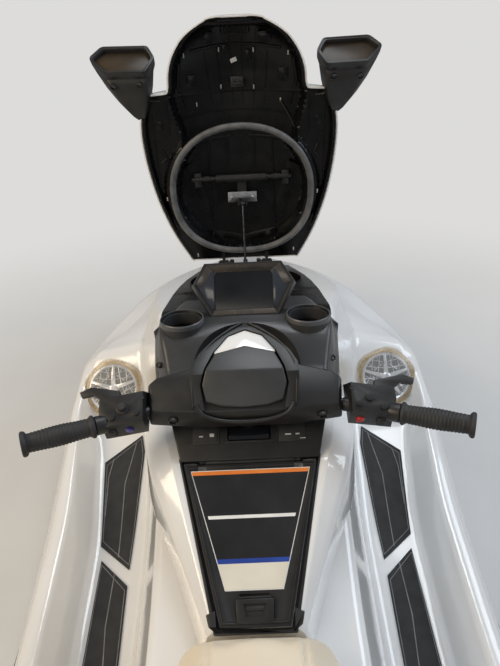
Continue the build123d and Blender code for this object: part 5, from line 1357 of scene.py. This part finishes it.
# Seats
SWELL_PRESSURE, SWELL_FRAMES, SWELL_LIMIT = 4.0, 20, 9
LOFT_INSET = 5
SEAM_REACH, SEAM_DEPTH = 7, 0.0032
VOXEL = 0.0058
seam_places = {"front_seat": 79, "rear_seat": 96}
seat_tables = {
    "front_seat": [(-600, 186, 184, 590, 150, 690, 696), (-520, 186, 184, 570, 146, 634, 640),
                   (-330, 186, 182, 560, 134, 608, 614), (-140, 176, 170, 560, 108, 600, 608),
                   (-32, 134, 126, 546, 92, 586, 590)],
    "rear_seat": [(-1186, 168, 152, 570, 104, 656, 662), (-1080, 174, 170, 590, 132, 680, 688),
                  (-760, 182, 180, 600, 146, 690, 697), (-604, 186, 184, 600, 150, 706, 712)],
}


def seat_ring(name, y, smaller):
    foot_x, side_x, side_z, top_x, top_z, middle_z = along(seat_tables[name], y, 34)
    low = deck_columns(y)[13] + 2 + smaller
    line = [(0, low), (foot_x - 3 - smaller, low - 6), (side_x - smaller, side_z),
            (top_x - smaller * 0.6, top_z - smaller * 0.8), (0, middle_z - smaller)]
    return section(y, line, (16, 60, 46), 6)


def swollen(piece, limit):
    """Cloth under pressure swells the pad outwards; no point moves further than the limit."""
    start = [(v.co.copy(), v.normal.copy()) for v in piece.data.vertices]
    only(piece)
    cloth = piece.modifiers.new("swell", "CLOTH")
    cloth.settings.quality = 4
    cloth.settings.mass = 0.3
    cloth.settings.use_pressure = True
    cloth.settings.uniform_pressure_force = SWELL_PRESSURE
    cloth.settings.effector_weights.gravity = 0
    cloth.collision_settings.use_collision = False
    cloth.point_cache.frame_start = 1
    cloth.point_cache.frame_end = SWELL_FRAMES
    for frame_number in range(1, SWELL_FRAMES + 1):
        bpy.context.scene.frame_set(frame_number)
    bpy.ops.object.modifier_apply(modifier=cloth.name)
    bpy.context.scene.frame_set(1)
    for vertex, (before, normal) in zip(piece.data.vertices, start):
        swell = (vertex.co - before).dot(normal)
        vertex.co = before + normal * min(max(swell, 0.0), limit * MM)
    modify(piece, "SMOOTH", factor=0.5, iterations=5)


seams = []
for name, low_y, high_y, label in (("front_seat", -596, -37, "front_seat_pad"),
                                   ("rear_seat", -1180, -608, "rear_seat_pad")):
    rows = [seat_ring(name, y, LOFT_INSET) for y in spaced((low_y + 24, high_y - 9, 30))]
    first, last = rows[0], rows[-1]
    rows = [drawn_in(first, 34, -18), drawn_in(first, 18, -15), drawn_in(first, 7, -9)] + rows
    rows += [drawn_in(last, 3, 4), drawn_in(last, 8, 7), drawn_in(last, 16, 8.5), drawn_in(last, 28, 9)]
    pad = pulled_grid(rows, closed=True)
    cap_ends(pad)
    modify(pad, "REMESH", mode="VOXEL", voxel_size=VOXEL)
    modify(pad, "SMOOTH", factor=0.5, iterations=6)
    swollen(pad, SWELL_LIMIT)
    for vertex in pad.data.vertices:
        vertex.co.y = min(max(vertex.co.y, (low_y - 3) * MM), (high_y + 1) * MM)
        floor_here = deck_top(vertex.co.x * 1000, vertex.co.y * 1000) + 0.6
        vertex.co.z = max(vertex.co.z, floor_here * MM)
    modify(pad, "SUBSURF", levels=1, render_levels=1)
    seam_x = seam_places[name]
    for vertex in pad.data.vertices:
        away = abs(abs(vertex.co.x * 1000) - seam_x)
        if away < SEAM_REACH and vertex.co.z > 0.53:
            vertex.co.z -= SEAM_DEPTH * (1 - away / SEAM_REACH) ** 0.6
    for side in (-1, 1):
        for lane in (-6, 6):
            line = []
            for y in spaced((low_y + 18, high_y - 14, 60)):
                above = Vector(((side * seam_x + lane) * MM, y * MM, 1))
                found = pad.ray_cast(above, Vector((0, 0, -1)))
                if found[0]:
                    line.append(tuple(c * 1000 for c in found[1]))
            for ends in zip(line[::2], line[1::2]):
                seams.append(rod_along(ends, 0.9, smooth_line=False, sides=4))
    complete(pad, label, cad[name]["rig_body"], vinyl, (name,), 50)
complete(seams, "seat_stitches", "craft", label_cream, (), 40)

# Camera, light and floor
FOCAL_PIXELS, PHOTO_HEIGHT_PIXELS = 485, 666
eye = Vector((0.0153, -0.4194, 1.4425))
camera_data = bpy.data.cameras.new("camera")
camera = bpy.data.objects.new("camera", camera_data)
bpy.context.scene.collection.objects.link(camera)
lateral = Vector((0.99904563, -0.04346553, -0.00431109)).normalized()
tilt = math.radians(34.1)
upward = Vector((0, -math.cos(tilt), -math.sin(tilt)))
upward = (upward - upward.dot(lateral) * lateral).normalized()
forward = upward.cross(lateral)
turn = Matrix((lateral, forward, upward)).transposed()
camera_data.sensor_width = 36
camera_data.lens = FOCAL_PIXELS / PHOTO_HEIGHT_PIXELS * camera_data.sensor_width
row = [Vector(r) for r in turn]
camera.matrix_world = Matrix.Translation(eye) @ Matrix((row[0], -row[1], -row[2])).transposed().to_4x4()
camera_data.clip_start = 0.05
bpy.context.scene.camera = camera


def area_light(name, place, aim, size, power, colour=(1, 1, 1)):
    data = bpy.data.lights.new(name, "AREA")
    data.shape = "RECTANGLE"
    data.size, data.size_y = size
    data.energy = power
    data.color = colour
    lamp = bpy.data.objects.new(name, data)
    bpy.context.scene.collection.objects.link(lamp)
    lamp.location = place
    lamp.rotation_euler = (Vector(aim) - Vector(place)).to_track_quat("-Z", "Y").to_euler()


area_light("warm_key", (-3.0, -0.6, 3.0), (0, 0.5, 0.5), (2.0, 1.6), 78, (1.0, 0.82, 0.58))
area_light("cool_fill", (3.2, 0.8, 2.8), (0, 0.6, 0.5), (2.0, 1.8), 52, (0.78, 0.88, 1.0))
area_light("overhead", (0.35, 1.5, 3.5), (0, 0.8, 0.6), (1.5, 1.1), 36, (0.9, 0.95, 1.0))
area_light("stern_light", (-0.8, -4.0, 2.6), (0, -0.8, 0.4), (2.4, 1.2), 20, (1.0, 0.92, 0.8))

BACKDROP = (0.72, 0.715, 0.7, 1)
FADE_NEAR, FADE_FAR = 1.1, 3.6
world = bpy.data.worlds.new("studio")
bpy.context.scene.world = world
world.use_nodes = True
tree = world.node_tree
background = tree.nodes["Background"]
background.inputs["Strength"].default_value = 0.3
background.inputs["Color"].default_value = (0.97, 0.97, 1.0, 1)
pale = shader_node(tree, "Background", Color=BACKDROP, Strength=1.0)
mix = shader_node(tree, "MixShader")
link(shader_node(tree, "LightPath"), "Is Camera Ray", mix, "Fac")
link(background, "Background", mix, 1)
link(pale, "Background", mix, 2)
link(mix, "Shader", tree.nodes["World Output"], "Surface")

# Pale floor that takes the shadow near the craft and meets the backdrop's tone far from it
deselect()
bpy.ops.mesh.primitive_plane_add(size=120)
floor = bpy.context.object
floor.name = "floor"
floor_pale = finish("pale_floor", (0.62, 0.615, 0.6), (0.65, 0.645, 0.63), 3.0, (0.5, 0.65))
tree = floor_pale.node_tree
glow = shader_node(tree, "Emission", Color=BACKDROP)
reach = shader_node(tree, "VectorMath")
reach.operation = "LENGTH"
fade = shader_node(tree, "MapRange", From_Min=FADE_NEAR, From_Max=FADE_FAR)
fade.interpolation_type = "SMOOTHSTEP"
both_true = shader_node(tree, "Math")
both_true.operation = "MULTIPLY"
mix = shader_node(tree, "MixShader")
link(shader_node(tree, "TexCoord"), "Object", reach, 0)
link(reach, "Value", fade, "Value")
link(fade, "Result", both_true, 0)
link(shader_node(tree, "LightPath"), "Is Camera Ray", both_true, 1)
link(both_true, "Value", mix, "Fac")
link(tree.nodes["Principled BSDF"], "BSDF", mix, 1)
link(glow, "Emission", mix, 2)
link(mix, "Shader", tree.nodes["Material Output"], "Surface")
floor.data.materials.append(floor_pale)

bpy.context.scene.view_settings.view_transform = "Standard"
